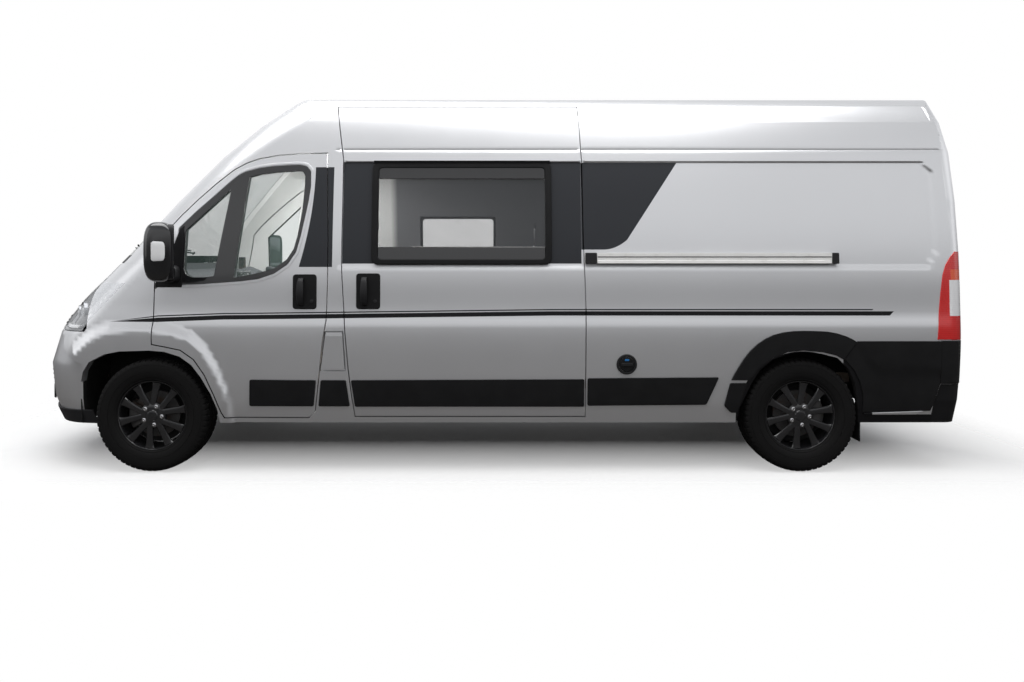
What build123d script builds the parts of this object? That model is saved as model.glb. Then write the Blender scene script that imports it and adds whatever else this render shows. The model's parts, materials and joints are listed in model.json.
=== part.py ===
import math
import os

from build123d import *

os.makedirs("parts", exist_ok=True)

# Sizes in mm. Forward is -X, the left side is -Y, the ground is Z = 0.
front_x = -2999.0
rear_x = 2999.0
half_width = 1025.0
roof_top = 2425.0
sill_z = 310.0
wall = 45.0
gap = 7.0
seat_fit = 0.3
running_fit = 0.05
lip_depth = 12.0
lip_reach = 24.0
glass_thick = 6.0
bonnet_thick = 20.0
floor_z = 520.0
floor_thick = 60.0
house_top = 800.0

front_axle_x = -2051.0
rear_axle_x = 1984.0
front_half_track = half_width - 133
rear_half_track = half_width - 130
tyre_radius = 352.0
tyre_width = 225.0
rim_radius = 218.0
rim_width = 184.0
spindle_radius = 32.0
disc_radius = 145.0
kingpin_y = front_half_track - 75
kingpin_radius = 10.0
kingpin_reach = 112.0
axle_tube_radius = 40.0
spring_y = rear_half_track - 330
spring_width = 70.0

door_hinge_inset = 45.0
door_hinge_depth = 12.0
door_axis_top = 1380.0
door_axis_top_depth = 1.5
door_pin_radius = 4.0
door_barrel_radius = 6.0
barrel_clearance = 1.6
door_hinge_heights = (850.0, 1150.0)
rear_hinge_heights = (760.0, 1450.0)
pocket_half = 26.0
lug_half = 18.0
lug_near = 4.0
lug_far = 12.0
lug_back = 24.0
strap_depth = 56.0
strap_thick = 14.0
bonnet_pin_radius = 6.0
bonnet_hinge = (-2300.0, 1285.0)
bonnet_hinge_y = half_width - 385
flap_pin_radius = 2.0
flap_hinge_inset = 25.0
flap_depth = 8.5
steering_centre = (-1560.0, 420.0, 1160.0)
steering_slope = (0.5, 0.0, 0.8660254)
steering_radius = 185.0
steering_grip = 15.0
column_radius = 30.0
column_length = 300.0
tow_hole_radius = 6.5
tow_spacing = (120.0, 900.0)
tow_x = 2720.0
mirror_width = 213.0

reach = 300.0
side_out = half_width + reach
nose_out = front_x - reach
tail_out = rear_x + reach
sky = roof_top + reach

# Underbody, cab and living space
well_front = (-2522.0, -1581.0)
well_rear = (1540.0, 2420.0)
well_gap = 20.0
bulk_front = -2212.0
bulk_thick = 30.0
bulk_half = half_width - 125
chassis_rail = (400.0, 470.0)
chassis_nose = -2780.0
chassis_low = 440.0
suspension_slot = 170.0
arm_half = 22.0
arm_thick = 20.0
arm_gap = 6.0
spindle_reach = 85.0
engine_x = (-2700.0, -2312.0)
engine_half = 420.0
engine_top = 1000.0
tank_x = (-700.0, 300.0)
tank_y = (-250.0, 450.0)
tank_low = 330.0
pipe_y = 520.0
pipe_z = 460.0
pipe_radius = 25.0
silencer_radius = 55.0
seat_inner = 170.0
seat_width = 500.0
worktop_z = 1400.0
kitchen_x = (-560.0, 700.0)
kitchen_y = 420.0
bed_x = (1450.0, 2900.0)
bed_z = 1100.0
mattress_thick = 120.0
rail_z = (1298.0, 1364.0)
rail_x = (640.0, 2203.0)
rail_proud = 12.0

# Body sections in plan. back and lean are measured from the two ends, narrow from the full half width.
body_sections = [
    dict(z=250.0, back=105.0, bow=1500.0, corner=300.0, narrow=50.0, side_bow=16000.0, lean=39.0),
    dict(z=450.0, back=20.0, bow=1500.0, corner=300.0, narrow=17.0, side_bow=16000.0, lean=14.0),
    dict(z=650.0, back=0.0, bow=1500.0, corner=310.0, narrow=5.0, side_bow=16000.0, lean=3.0),
    dict(z=850.0, back=61.0, bow=1500.0, corner=320.0, narrow=0.0, side_bow=16000.0, lean=0.0),
    dict(z=1050.0, back=205.0, bow=1500.0, corner=330.0, narrow=8.0, side_bow=14000.0, lean=0.0),
    dict(z=1350.0, back=515.0, bow=1600.0, corner=350.0, narrow=25.0, side_bow=11000.0, lean=0.0),
    dict(z=1700.0, back=871.0, bow=1900.0, corner=380.0, narrow=65.0, side_bow=9000.0, lean=3.0),
    dict(z=roof_top - 425, back=1176.0, bow=2000.0, corner=400.0, narrow=113.0, side_bow=9000.0, lean=15.0),
    dict(z=roof_top - 225, back=1417.0, bow=2000.0, corner=400.0, narrow=163.0, side_bow=9000.0, lean=47.0),
    dict(z=roof_top - 75, back=1629.0, bow=2000.0, corner=380.0, narrow=235.0, side_bow=9000.0, lean=91.0),
    dict(z=roof_top + 75, back=1879.0, bow=2000.0, corner=330.0, narrow=335.0, side_bow=9000.0, lean=159.0),
]
side_bow_x = -900.0
tail_corner = 90.0
eave_drop = 275.0
edge_drop = 53.0
edge_in = 325.0
eave_in = 147.0

# Side outlines, (x, z)
front_door = [
    (-2043, 1182), (-2043, 800), (-1959, 785), (-1862, 766), (-1778, 708), (-1712, 614), (-1655, 489),
    (-1610, 374), (-1592, 344), (-1073, 344), (-1035, 382), (-1012, 572), (-987, 807), (-964, 949),
    (-957, 1180),
    (-957, 1450), (-976, 1992), (-1147, 1988), (-1284, 1978), (-1400, 1958), (-1483, 1931), (-1565, 1888),
    (-1676, 1802), (-1793, 1700), (-1894, 1603), (-1963, 1527),
]
door_window = [
    (-1464, 1844), (-1400, 1861), (-1300, 1874), (-1150, 1883), (-1118, 1876), (-1105, 1850), (-1105, 1790),
    (-1117, 1623), (-1140, 1480), (-1164, 1389), (-1206, 1322), (-1286, 1265), (-1400, 1234), (-1545, 1206),
]
quarter_window = [
    (-1573, 1772), (-1858, 1509), (-1861, 1264), (-1850, 1232), (-1807, 1209), (-1720, 1211), (-1663, 1217),
]
side_door = [
    (-920, roof_top - 125), (-866, 1950), (-866, 1300), (-842, 900), (-821, 647), (-800, 474), (-782, 352),
    (640, 352),
    (644, 1010), (630, 1440), (625, 1950), (607, roof_top - 125),
]
left_window = [(-672, 1298), (425, 1298), (425, 1927), (-672, 1927)]
right_window = [(-560, 1396), (90, 1396), (90, 1690), (-560, 1690)]
fuel_flap = [(-962, 874), (-860, 874), (-846, 640), (-994, 640)]
front_arch = [
    (-2503, 150), (-2509, 452), (-2507, 558), (-2493, 621), (-2454, 682), (-2351, 733), (-2253, 752),
    (-2062, 759), (-1965, 752), (-1868, 723), (-1793, 670), (-1736, 595), (-1675, 490), (-1637, 394),
    (-1600, 150),
]
rear_arch = [
    (1560, 150), (1600, 400), (1672, 560), (1722, 640), (1800, 704), (1900, 742), (1984, 752), (2100, 742),
    (2200, 716), (2270, 650), (2312, 560), (2340, 400), (2350, 150),
]
bumper_side = [
    (nose_out, 100), (-2400, 100), (-2508, 560), (-2490, 668), (-2590, 700), (-2655, 770), (-2662, 868),
    (nose_out, 868),
]
tail_lamp_side = [(2905, 826), (tail_out, 826), (tail_out, 1373), (2960, 1373), (2915, 1250)]
rear_bumper_side = [(2760, 100), (tail_out, 100), (tail_out, 552.5), (2840, 552.5), (2800, 420)]
roof_edge = roof_top - 111
roof_side = [
    (nose_out, roof_top - 329), (-1480, roof_top - 329), (-1130, roof_edge), (tail_out, roof_edge),
    (tail_out, sky), (nose_out, sky),
]

# Front and rear outlines, (y, z)
screen_low = half_width - 205
screen_high = half_width - 370
screen_z = 1352.0
screen_top = roof_top - 335
bonnet_half = half_width - 265
nose_half = half_width - 425
screen_front = [
    (-screen_low, screen_z), (screen_low, screen_z), (screen_high, screen_top), (-screen_high, screen_top),
]
cowl_front = [
    (-screen_low, 1300), (-screen_low + 48, 1300), (-screen_low + 48, 1180), (screen_low - 48, 1180),
    (screen_low - 48, 1300), (screen_low, 1300), (screen_low, screen_z - 0.6), (-screen_low, screen_z - 0.6),
]
grille_front = [(-nose_half + 40, 880), (nose_half - 40, 880), (nose_half, 960), (-nose_half, 960)]
lamp_front = [
    (nose_half + 10, 870), (half_width - 85, 870), (half_width - 85, 1180), (nose_half + 100, 1180),
    (nose_half + 10, 1000),
]
bonnet_front = [
    (-nose_half, 968), (nose_half, 968), (nose_half + 5, 1010), (bonnet_half - 65, 1188), (bonnet_half, 1300),
    (bonnet_half, 1400), (-bonnet_half, 1400), (-bonnet_half, 1300), (-bonnet_half + 65, 1188),
    (-nose_half - 5, 1010),
]
bonnet_edge_z = 1292.0
leaf_half = half_width - 213
rear_door_outline = [
    (4, 560), (leaf_half, 560), (leaf_half, 1960), (leaf_half - 42, roof_top - 189), (4, roof_top - 189),
]
rear_window = [(150, 1320), (leaf_half - 122, 1320), (leaf_half - 147, 1960), (150, 1960)]


def chain(points):
    edges = [Line(a, b) for a, b in zip(points, points[1:] + points[:1])]
    return Wire(edges)


def prism_y(points, y0, y1):
    """Side outline (x, z) pushed from y0 to y1."""
    wire = chain([Vector(x, y0, z) for x, z in points])
    return Solid.extrude(Face(wire), Vector(0, y1 - y0, 0))


def prism_x(points, x0, x1):
    """Front outline (y, z) pushed from x0 to x1."""
    wire = chain([Vector(x0, y, z) for y, z in points])
    return Solid.extrude(Face(wire), Vector(x1 - x0, 0, 0))


def prism_z(points, z0, z1):
    """Plan outline (x, y) pushed from z0 to z1."""
    wire = chain([Vector(x, y, z0) for x, y in points])
    return Solid.extrude(Face(wire), Vector(0, 0, z1 - z0))


def box(x0, x1, y0, y1, z0, z1):
    low = Vector(min(x0, x1), min(y0, y1), min(z0, z1))
    return Solid.make_box(abs(x1 - x0), abs(y1 - y0), abs(z1 - z0)).moved(Location(low))


def rod(p, q, r):
    start = Vector(*p)
    run = Vector(*q) - start
    return Solid.make_cylinder(r, run.length, Plane(origin=start, z_dir=run.normalized()))


def mirror_y(shape):
    return shape.mirror(Plane.XZ)


def solids(*shapes):
    out = []
    for s in shapes:
        if isinstance(s, (list, tuple)):
            out += solids(*s)
        elif s is not None:
            out += list(s.solids())
    return out


def both(*shapes):
    parts = solids(*shapes)
    return parts + [mirror_y(p) for p in parts]


def save(name, *shapes):
    parts = solids(*shapes)
    export_step(Compound(children=parts), f"parts/{name}.step")
    print(name, len(parts), round(sum(p.volume for p in parts) / 1e6, 2))
    return parts


def handed(name, *shapes):
    parts = save(name + "_left", *shapes)
    save(name + "_right", [mirror_y(p) for p in parts])


def cut(shape, *tools):
    pieces = solids(shape)
    for t in solids(*tools):
        pieces = solids([p - t for p in pieces])
    return pieces


def keep(shape, *tools):
    out = []
    for b in solids(shape):
        for t in solids(*tools):
            r = b & t
            if r is not None:
                out += solids(r)
    return larger(out, 50.0)


def join(*shapes):
    parts = solids(*shapes)
    whole = parts[0]
    for p in parts[1:]:
        whole = whole + p
    return solids(whole)


def larger(parts, volume):
    """Leaves out the crumbs of a cut."""
    return [p for p in parts if p.volume > volume]


def grow(points, d):
    """Moves every side of a closed outline outwards by d."""
    n = len(points)
    turns = (points[i][0] * points[(i + 1) % n][1] - points[(i + 1) % n][0] * points[i][1] for i in range(n))
    s = 1.0 if sum(turns) > 0 else -1.0
    out = []
    for i in range(n):
        ax, ay = points[i - 1]
        bx, by = points[i]
        cx, cy = points[(i + 1) % n]
        l1 = math.hypot(bx - ax, by - ay)
        l2 = math.hypot(cx - bx, cy - by)
        n1 = (s * (by - ay) / l1, -s * (bx - ax) / l1)
        n2 = (s * (cy - by) / l2, -s * (cx - bx) / l2)
        k = d / (1.0 + n1[0] * n2[0] + n1[1] * n2[1])
        out.append((bx + k * (n1[0] + n2[0]), by + k * (n1[1] + n2[1])))
    return out


def flip(points):
    return [(-a, b) for a, b in points]


# the body's outer form
def plan_arcs(row, inset=0.0):
    """Centres, radii and meeting points of the arcs of one plan section."""
    nose = front_x + row["back"] + inset
    bow, corner, side = row["bow"] - inset, row["corner"] - inset, row["side_bow"] - inset
    half = half_width - row["narrow"] - inset
    side_cy = half - side
    bow_cx = nose + bow
    r1, r2 = side - corner, bow - corner
    dx, dy = bow_cx - side_bow_x, -side_cy
    d = math.hypot(dx, dy)
    a = (r1 * r1 - r2 * r2 + d * d) / (2 * d)
    h = math.sqrt(r1 * r1 - a * a)
    mx, my = side_bow_x + a * dx / d, side_cy + a * dy / d
    found = [(mx + s * h * dy / d, my - s * h * dx / d) for s in (1, -1)]
    cx, cy = min((p for p in found if p[1] > 0), key=lambda p: p[0])
    p1 = (bow_cx + (cx - bow_cx) * bow / r2, cy * bow / r2)
    p2 = (side_bow_x + (cx - side_bow_x) * side / r1, side_cy + (cy - side_cy) * side / r1)
    return dict(nose=nose, bow=bow, corner=corner, side=side, half=half, side_cy=side_cy, bow_cx=bow_cx, cx=cx,
                cy=cy, p1=p1, p2=p2)


def row_at(z):
    """Section values at a height between two rows."""
    for low, high in zip(body_sections, body_sections[1:]):
        if z <= high["z"]:
            t = (z - low["z"]) / (high["z"] - low["z"])
            return {k: low[k] + t * (high[k] - low[k]) for k in low}
    return body_sections[-1]


def skin_half(x, z):
    """Half width of the outer skin at a station and height."""
    a = plan_arcs(row_at(z))
    if x >= side_bow_x:
        return a["half"]
    if x >= a["p2"][0]:
        return a["side_cy"] + math.sqrt(a["side"] ** 2 - (x - side_bow_x) ** 2)
    return a["cy"] + math.sqrt(a["corner"] ** 2 - (x - a["cx"]) ** 2)


def skin_nose(y, z):
    """Foremost x of the outer skin at a distance from the middle and a height."""
    a = plan_arcs(row_at(z))
    if abs(y) <= a["p1"][1]:
        return a["bow_cx"] - math.sqrt(a["bow"] ** 2 - y * y)
    return a["cx"] - math.sqrt(a["corner"] ** 2 - (abs(y) - a["cy"]) ** 2)


def plan_section(row, inset):
    a = plan_arcs(row, inset)
    z = row["z"]
    tail = rear_x - row["lean"] - inset
    turn = max(tail_corner - inset, 20.0)
    a1 = math.atan2(a["p1"][1] - a["cy"], a["p1"][0] - a["cx"]) % (2 * math.pi)
    a2 = math.atan2(a["p2"][1] - a["cy"], a["p2"][0] - a["cx"])
    am = (a1 + a2) / 2
    bm = (math.atan2(a["p2"][1] - a["side_cy"], a["p2"][0] - side_bow_x) + math.pi / 2) / 2
    corner_mid = (a["cx"] + a["corner"] * math.cos(am), a["cy"] + a["corner"] * math.sin(am))
    side_mid = (side_bow_x + a["side"] * math.cos(bm), a["side_cy"] + a["side"] * math.sin(bm))
    k = turn * (1 - math.sqrt(0.5))
    track = [a["p1"], corner_mid, a["p2"], side_mid, (side_bow_x, a["half"]), (tail - turn, a["half"]),
             (tail - k, a["half"] - k), (tail, a["half"] - turn)]
    r = [Vector(x, y, z) for x, y in track]
    m = [Vector(x, -y, z) for x, y in track]
    return Wire([
        ThreePointArc(m[0], Vector(a["nose"], 0, z), r[0]),
        ThreePointArc(r[0], r[1], r[2]),
        ThreePointArc(r[2], r[3], r[4]),
        Line(r[4], r[5]),
        ThreePointArc(r[5], r[6], r[7]),
        Line(r[7], m[7]),
        ThreePointArc(m[7], m[6], m[5]),
        Line(m[5], m[4]),
        ThreePointArc(m[4], m[3], m[2]),
        ThreePointArc(m[2], m[1], m[0]),
    ])


def roof_section(inset):
    """Cross-section that rounds the roof edges, pushed along the whole body."""
    eave_y, eave_z = half_width - eave_in - inset, roof_top - eave_drop
    edge_y, edge_z = half_width - edge_in - inset * 0.5, roof_top - edge_drop - inset
    mid_y, mid_z = eave_y - 62, eave_z + 152 - inset * 0.55
    low = half_width + 275

    def v(y, z):
        return Vector(nose_out, y, z)

    wire = Wire([
        Line(v(-low, 100), v(low, 100)),
        Line(v(low, 100), v(low, eave_z)),
        Line(v(low, eave_z), v(eave_y, eave_z)),
        ThreePointArc(v(eave_y, eave_z), v(mid_y, mid_z), v(edge_y, edge_z)),
        ThreePointArc(v(edge_y, edge_z), v(0, roof_top - inset), v(-edge_y, edge_z)),
        ThreePointArc(v(-edge_y, edge_z), v(-mid_y, mid_z), v(-eave_y, eave_z)),
        Line(v(-eave_y, eave_z), v(-low, eave_z)),
        Line(v(-low, eave_z), v(-low, 100)),
    ])
    return Solid.extrude(Face(wire), Vector(tail_out - nose_out, 0, 0))


def body_solid(inset=0.0):
    """The closed body form, or the same form moved inwards."""
    wires = [plan_section(row, inset) for row in body_sections]
    return solids(Solid.make_loft(wires, True) & roof_section(inset))


outer = body_solid()
inner = body_solid(wall)
glass_skin = cut(outer, body_solid(glass_thick))
shell = cut(outer, inner, box(nose_out, tail_out, -side_out, side_out, 0, sill_z))
sides = {"left": (-side_out, -0.01), "right": (0.01, side_out)}
arch_depth = {"front": front_half_track - 332, "rear": rear_half_track - 195}
for outline, inside in ((front_arch, arch_depth["front"]), (rear_arch, arch_depth["rear"])):
    shell = cut(shell, prism_y(outline, -side_out, -inside), prism_y(outline, inside, side_out))

# roof, windscreen, cowl
roof = keep(shell, prism_y(roof_side, -side_out, side_out))
rest = cut(shell, prism_y(grow(roof_side, seat_fit), -side_out, side_out))
screen_back = -1300.0
windscreen = keep(glass_skin, prism_x(screen_front, nose_out, screen_back))
rest = cut(rest, prism_x(grow(screen_front, seat_fit), nose_out, screen_back))
steps = 8
bonnet_side = bonnet_front[5][0] + 3
edge_ys = [bonnet_side * (2 * i / steps - 1) for i in range(steps + 1)]
bonnet_plan = [(skin_nose(y, bonnet_edge_z), y) for y in edge_ys]
bonnet_plan += [(nose_out, bonnet_side), (nose_out, -bonnet_side)]
cowl_back = -2000.0
cowl_panel = keep(rest, prism_x(cowl_front, nose_out, cowl_back))
cowl_panel = cut(cowl_panel, prism_z(grow(bonnet_plan, gap), 900, 1500))

# nose
bumper_tool = prism_y(bumper_side, -side_out, side_out)
front_bumper = keep(rest, bumper_tool)
rest = cut(rest, prism_y(grow(bumper_side, seat_fit), -side_out, side_out))
lamp_back = -2480.0
grille = keep(rest, prism_x(grille_front, nose_out, lamp_back))
rest = cut(rest, prism_x(grow(grille_front, seat_fit), nose_out, lamp_back))
headlamps = []
for outline in (lamp_front, flip(lamp_front)):
    headlamps += keep(rest, prism_x(outline, nose_out, lamp_back))
    rest = cut(rest, prism_x(grow(outline, seat_fit), nose_out, lamp_back))
bonnet_back = -2150.0
bonnet_skin = cut(outer, body_solid(bonnet_thick))
bonnet = keep(keep(bonnet_skin, prism_x(bonnet_front, nose_out, bonnet_back)), prism_z(bonnet_plan, 900, 1500))
rest = cut(rest, prism_x(cowl_front, nose_out, cowl_back))
rest = cut(rest, prism_x(grow(bonnet_front, gap), nose_out, bonnet_back))

# tail
tail_face = 2800.0
leaf = keep(rest, prism_x(flip(rear_door_outline), tail_face, tail_out))
right_edge = grow(rear_door_outline, gap)[1:4]
tail_hole = right_edge + flip(right_edge)[::-1]
rest = cut(rest, prism_x(tail_hole, tail_face, tail_out))
tail_lamps = []
for s in (-1, 1):
    tail_lamps += keep(rest, prism_y(tail_lamp_side, s * 850, s * side_out))
    rest = cut(rest, prism_y(grow(tail_lamp_side, seat_fit), s * (850 - seat_fit), s * side_out))
rear_bumper = keep(rest, prism_y(rear_bumper_side, -side_out, side_out))
rest = cut(rest, prism_y(grow(rear_bumper_side, seat_fit), -side_out, side_out))

# sides
door_inside = 600.0
wing_top = 1300.0
wing_back = front_door[0][0] + gap
walls = {}
wings = {}
for name, (y0, y1) in sides.items():
    s = -1 if name == "left" else 1
    w = keep(rest, box(nose_out, tail_out, y0, y1, 0, sky))
    tool = (s * door_inside, s * side_out)
    if name == "left":
        door = keep(w, prism_y(front_door, *tool))
    w = cut(w, prism_y(grow(front_door, gap), *tool))
    if name == "left":
        slide = keep(w, prism_y(side_door, *tool))
        w = cut(w, prism_y(grow(side_door, gap), *tool))
    else:
        w = cut(w, prism_y(right_window, *tool))
    wings[name] = keep(w, box(nose_out, wing_back, s * 1.0, s * side_out, 0, wing_top - seat_fit))
    walls[name] = cut(w, box(nose_out, wing_back + seat_fit, s * 0.01, s * side_out, 0, wing_top))

# front doors hang on two pins that lie along one leaning line
hinge_x = front_door[0][0] + door_hinge_inset
low_z = door_hinge_heights[0]
low_y = -skin_half(hinge_x, low_z) + door_hinge_depth
top_y = -skin_half(hinge_x, door_axis_top) + door_axis_top_depth
axis_lean = (top_y - low_y) / (door_axis_top - low_z)
print("front door hinge", (hinge_x, low_y, low_z), "lean", axis_lean)


def on_hinge(z):
    return (hinge_x, low_y + axis_lean * (z - low_z), z)


tool = (-side_out, -door_inside)
door = cut(door, prism_y(door_window, *tool), prism_y(quarter_window, *tool))
post_x0, post_x1 = wing_back - 60, wing_back - 16
posts = [box(post_x0, post_x1, -side_out, low_y + 120, house_top + seat_fit, 1340)]
pin_reach = pocket_half + 14
for z in door_hinge_heights:
    x, y, _ = on_hinge(z)
    pocket_y = y - door_barrel_radius - barrel_clearance
    door = cut(door, box(x - 60, x + lug_back, pocket_y, y + 120, z - pocket_half, z + pocket_half))
    bore = rod(on_hinge(z - pin_reach - 2), on_hinge(z + pin_reach + 2), door_pin_radius + running_fit)
    door = cut(door, bore)
    posts.append(rod(on_hinge(z - pin_reach), on_hinge(z + pin_reach), door_pin_radius))
    posts.append(rod(on_hinge(z - lug_half), on_hinge(z + lug_half), door_barrel_radius))
    posts.append(box(x - lug_near, x + lug_far, y, y + strap_depth + strap_thick, z - lug_half, z + lug_half))
    posts.append(box(post_x0 + 8, x + lug_far, y + strap_depth, y + strap_depth + strap_thick, z - lug_half,
                     z + lug_half))
outside = cut(box(nose_out, screen_back, -side_out, 0, 300, 1500), outer)
door_posts = larger(cut(join(posts), walls["left"], wings["left"], outside), 3000)
door = larger(door, 2000)
handed("front_door", door)
panes = [prism_y(grow(o, -seat_fit), *tool) for o in (door_window, quarter_window)]
handed("door_glass", keep(glass_skin, panes))

mirror_y0 = skin_half(-1950, 1300) + 60
case = box(-2030, -1905, -mirror_y0 - mirror_width, -mirror_y0, 1215, 1550)
case = case.fillet(38, case.edges())
arm = box(-1990, -1915, -mirror_y0 - 8, -mirror_y0 + 120, 1232, 1268)
handed("mirror", larger(cut(join(case, arm), outer), 1e5))

# the sliding door is kept shut on a rebate behind its edge
save("side_door", cut(slide, prism_y(left_window, *tool)))
save("side_windows", keep(glass_skin, prism_y(grow(left_window, -seat_fit), *tool)),
     keep(glass_skin, prism_y(grow(right_window, -seat_fit), door_inside, side_out)))
lip = keep(cut(inner, body_solid(wall + lip_depth)), prism_y(grow(side_door, lip_reach), *tool))
lip = cut(lip, prism_y(grow(side_door, -lip_reach), *tool), box(nose_out, tail_out, -side_out, 0, 0, 400),
          box(nose_out, tail_out, -side_out, 0, floor_z - seat_fit, floor_z + floor_thick + seat_fit),
          box(nose_out, tail_out, -side_out, 0, roof_edge - seat_fit, sky))

# fuel flap in a pocket of the pillar between the doors
flap_top, flap_foot = fuel_flap[0], fuel_flap[3]
flap_slope = (flap_top[0] - flap_foot[0]) / (flap_top[1] - flap_foot[1])
flap_z = (flap_top[1] + flap_foot[1]) / 2
flap_x = (flap_top[0] + flap_foot[0]) / 2 + flap_hinge_inset
flap_skin_y = -skin_half(flap_x, flap_z)
flap_y = flap_skin_y + flap_depth
flap_floor = flap_skin_y + wall - 6


def on_flap(z):
    return (flap_x + flap_slope * (z - flap_z), flap_y, z)


print("flap hinge", on_flap(flap_z), "slope", flap_slope)
flap_plate = keep(glass_skin, prism_y(fuel_flap, *tool))
flap_lug = box(flap_x - 6, flap_x + 6, flap_skin_y + 3, flap_y + 6, flap_z - 15, flap_z + 15)
flap_bore = rod(on_flap(flap_z - 30), on_flap(flap_z + 30), flap_pin_radius + running_fit)
save("fuel_flap", cut(join(flap_plate, flap_lug), flap_bore))
flap_ears = [rod(on_flap(flap_z - 24), on_flap(flap_z + 24), flap_pin_radius)]
for z in (flap_z - 27, flap_z + 20):
    x = on_flap(z + 3.5)[0]
    flap_ears.append(box(x - 1.2, x + 6, flap_y - 1.2, flap_floor + 4, z, z + 7))
wall_left = cut(walls["left"], prism_y(grow(fuel_flap, gap), -side_out, flap_floor))
save("side_wall_left", join(wall_left, lip, join(flap_ears)))
save("side_wall_right", walls["right"])
save("front_wing_left", wings["left"])
save("front_wing_right", wings["right"])
save("roof", roof)
save("windscreen", windscreen)
save("front_bumper", front_bumper)
save("grille", grille)
save("headlamps", headlamps)
save("tail_lamps", tail_lamps)
save("rear_bumper", rear_bumper)

# bonnet arms reach back to pins under the cowl
bx, bz = bonnet_hinge
arms = []
lugs = []
for s in (-1, 1):
    y = s * bonnet_hinge_y
    nose_x = skin_nose(y, 1215.0)
    arms.append(join(box(nose_x - 20, bx + 12, y - 6, y + 6, 1180, 1250),
                     box(bx - 12, bx + 12, y - 6, y + 6, 1240, bz + 12)))
    lugs.append(join(rod((bx, y - s * 8, bz), (bx, y + s * 30, bz), bonnet_pin_radius),
                     box(bx - 12, bx + 24, y + s * 10, y + s * 30, bz - 15, bz + 60)))
arms = cut(arms, bonnet_skin)
arms = [max(keep(a, inner) + larger(solids(a), 0), key=lambda p: p.volume) for a in arms]
arms = cut(arms, rod((bx, -side_out, bz), (bx, side_out, bz), bonnet_pin_radius + running_fit))
save("bonnet", join(bonnet, larger(arms, 20000)))
slots = [box(nose_out, bx + 30, y - 12, y + 8, 1160, 1400) for y in (-bonnet_hinge_y, bonnet_hinge_y)]
cowl_panel = cut(cowl_panel, slots[0], slots[1])
shelf_half = bonnet_hinge_y + 40
shelf = keep(box(bx + 20, bulk_front - seat_fit, -shelf_half, shelf_half, bz - 15, bz + 5), inner)
save("cowl_panel", larger(join(cowl_panel, cut(join(lugs, shelf), windscreen)), 3000))

# rear doors
rear_hx = rear_x - door_hinge_depth
rear_hy = -(rear_door_outline[1][0] - door_hinge_inset)
print("rear hinge", rear_hx, rear_hy)
rear_glass = keep(glass_skin, prism_x(grow(flip(rear_window), -seat_fit), tail_face, tail_out))
leaf = cut(leaf, prism_x(flip(rear_window), tail_face, tail_out))
rear_posts = []
strap_x = rear_hx - strap_depth - strap_thick
for z in rear_hinge_heights:
    z0, z1 = z - lug_half, z + lug_half
    leaf = cut(leaf, box(rear_hx + door_barrel_radius + barrel_clearance, tail_face, rear_hy - 60, rear_hy + lug_back,
                         z - pocket_half, z + pocket_half))
    leaf = cut(leaf, rod((rear_hx, rear_hy, z - pin_reach - 2), (rear_hx, rear_hy, z + pin_reach + 2),
                         door_pin_radius + running_fit))
    rear_posts += [rod((rear_hx, rear_hy, z - pin_reach), (rear_hx, rear_hy, z + pin_reach), door_pin_radius),
                   rod((rear_hx, rear_hy, z0), (rear_hx, rear_hy, z1), door_barrel_radius),
                   box(strap_x, rear_hx, rear_hy - lug_near + 4, rear_hy + lug_far, z0, z1),
                   box(strap_x, strap_x + strap_thick, rear_hy + lug_far, rear_hy - 215, z0, z1)]
handed("rear_door", larger(leaf, 2000))
handed("rear_glass", rear_glass)
rear_hinges = larger(cut(join(rear_posts), walls["left"]), 3000)
save("hinge_posts", both(door_posts), both(rear_hinges))

# floor, bulkhead and wheel houses
house_skin = 15.0
deck = floor_z + floor_thick
slab = keep(box(-2300, rear_x - 9, -side_out, side_out, floor_z, deck), inner)
front_well = arch_depth["front"] - well_gap
wells = both(box(*well_front, -side_out, -front_well, 100, house_top),
             box(*well_rear, -side_out, -arch_depth["rear"], 100, house_top))
tow_holes = []
for x in (tow_x - tow_spacing[0] / 2, tow_x + tow_spacing[0] / 2):
    for y in (-tow_spacing[1] / 2, tow_spacing[1] / 2):
        tow_holes.append(rod((x, y, floor_z - 20), (x, y, deck + 20), tow_hole_radius))
clear_body = body_solid(wall + gap)
door_way = both(cut(prism_y(grow(front_door, gap), -side_out, -door_inside), clear_body))
tail_way = [box(rear_x - wall - gap - 5, tail_out, -side_out, side_out, floor_z - 10, deck + 10)]
tail_way += both(box(rear_x - wall - 50, tail_out, -leaf_half - 60, -leaf_half + 115, floor_z - 10, deck + 10))
floor_pan = larger(cut(slab, wells, tow_holes, door_way, tail_way), 1e6)
save("floor_pan", floor_pan)
bulk_back = bulk_front + bulk_thick
bulkhead = keep(box(bulk_front, bulk_back, -bulk_half, bulk_half, deck, bonnet_edge_z + 4), inner)
save("bulkhead", cut(bulkhead, wells))
inner_y = -front_well - house_skin
house = join(box(well_front[0] + 2, well_front[1] - 2, inner_y, inner_y + house_skin, 330, house_top),
             box(well_front[0] + 2, well_front[1] - 2, inner_y + house_skin, -side_out, house_top - house_skin,
                 house_top))
house = cut(house, box(front_axle_x - suspension_slot, front_axle_x + suspension_slot, inner_y - 5,
                       inner_y + house_skin + 5, 300, 600))
door_side_y = -skin_half(hinge_x, house_top) + wall + 30
house = cut(keep(house, inner), box(wing_back - 16, well_front[1] + 1, -side_out, door_side_y, 100, 900))
rear_y = -(arch_depth["rear"] - 2)
x0, x1 = well_rear[0] + 5, well_rear[1] - 5
back_house = join(box(x0, x1, rear_y, rear_y + house_skin, deck, house_top),
                  box(x0, x1, rear_y + house_skin, -side_out, house_top - house_skin, house_top),
                  box(x0 - house_skin, x0, rear_y + house_skin, -side_out, 420, house_top),
                  box(x1, x1 + house_skin, rear_y + house_skin, -side_out, 420, house_top))
back_house = cut(keep(back_house, inner), cut(slab, wells))
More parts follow.
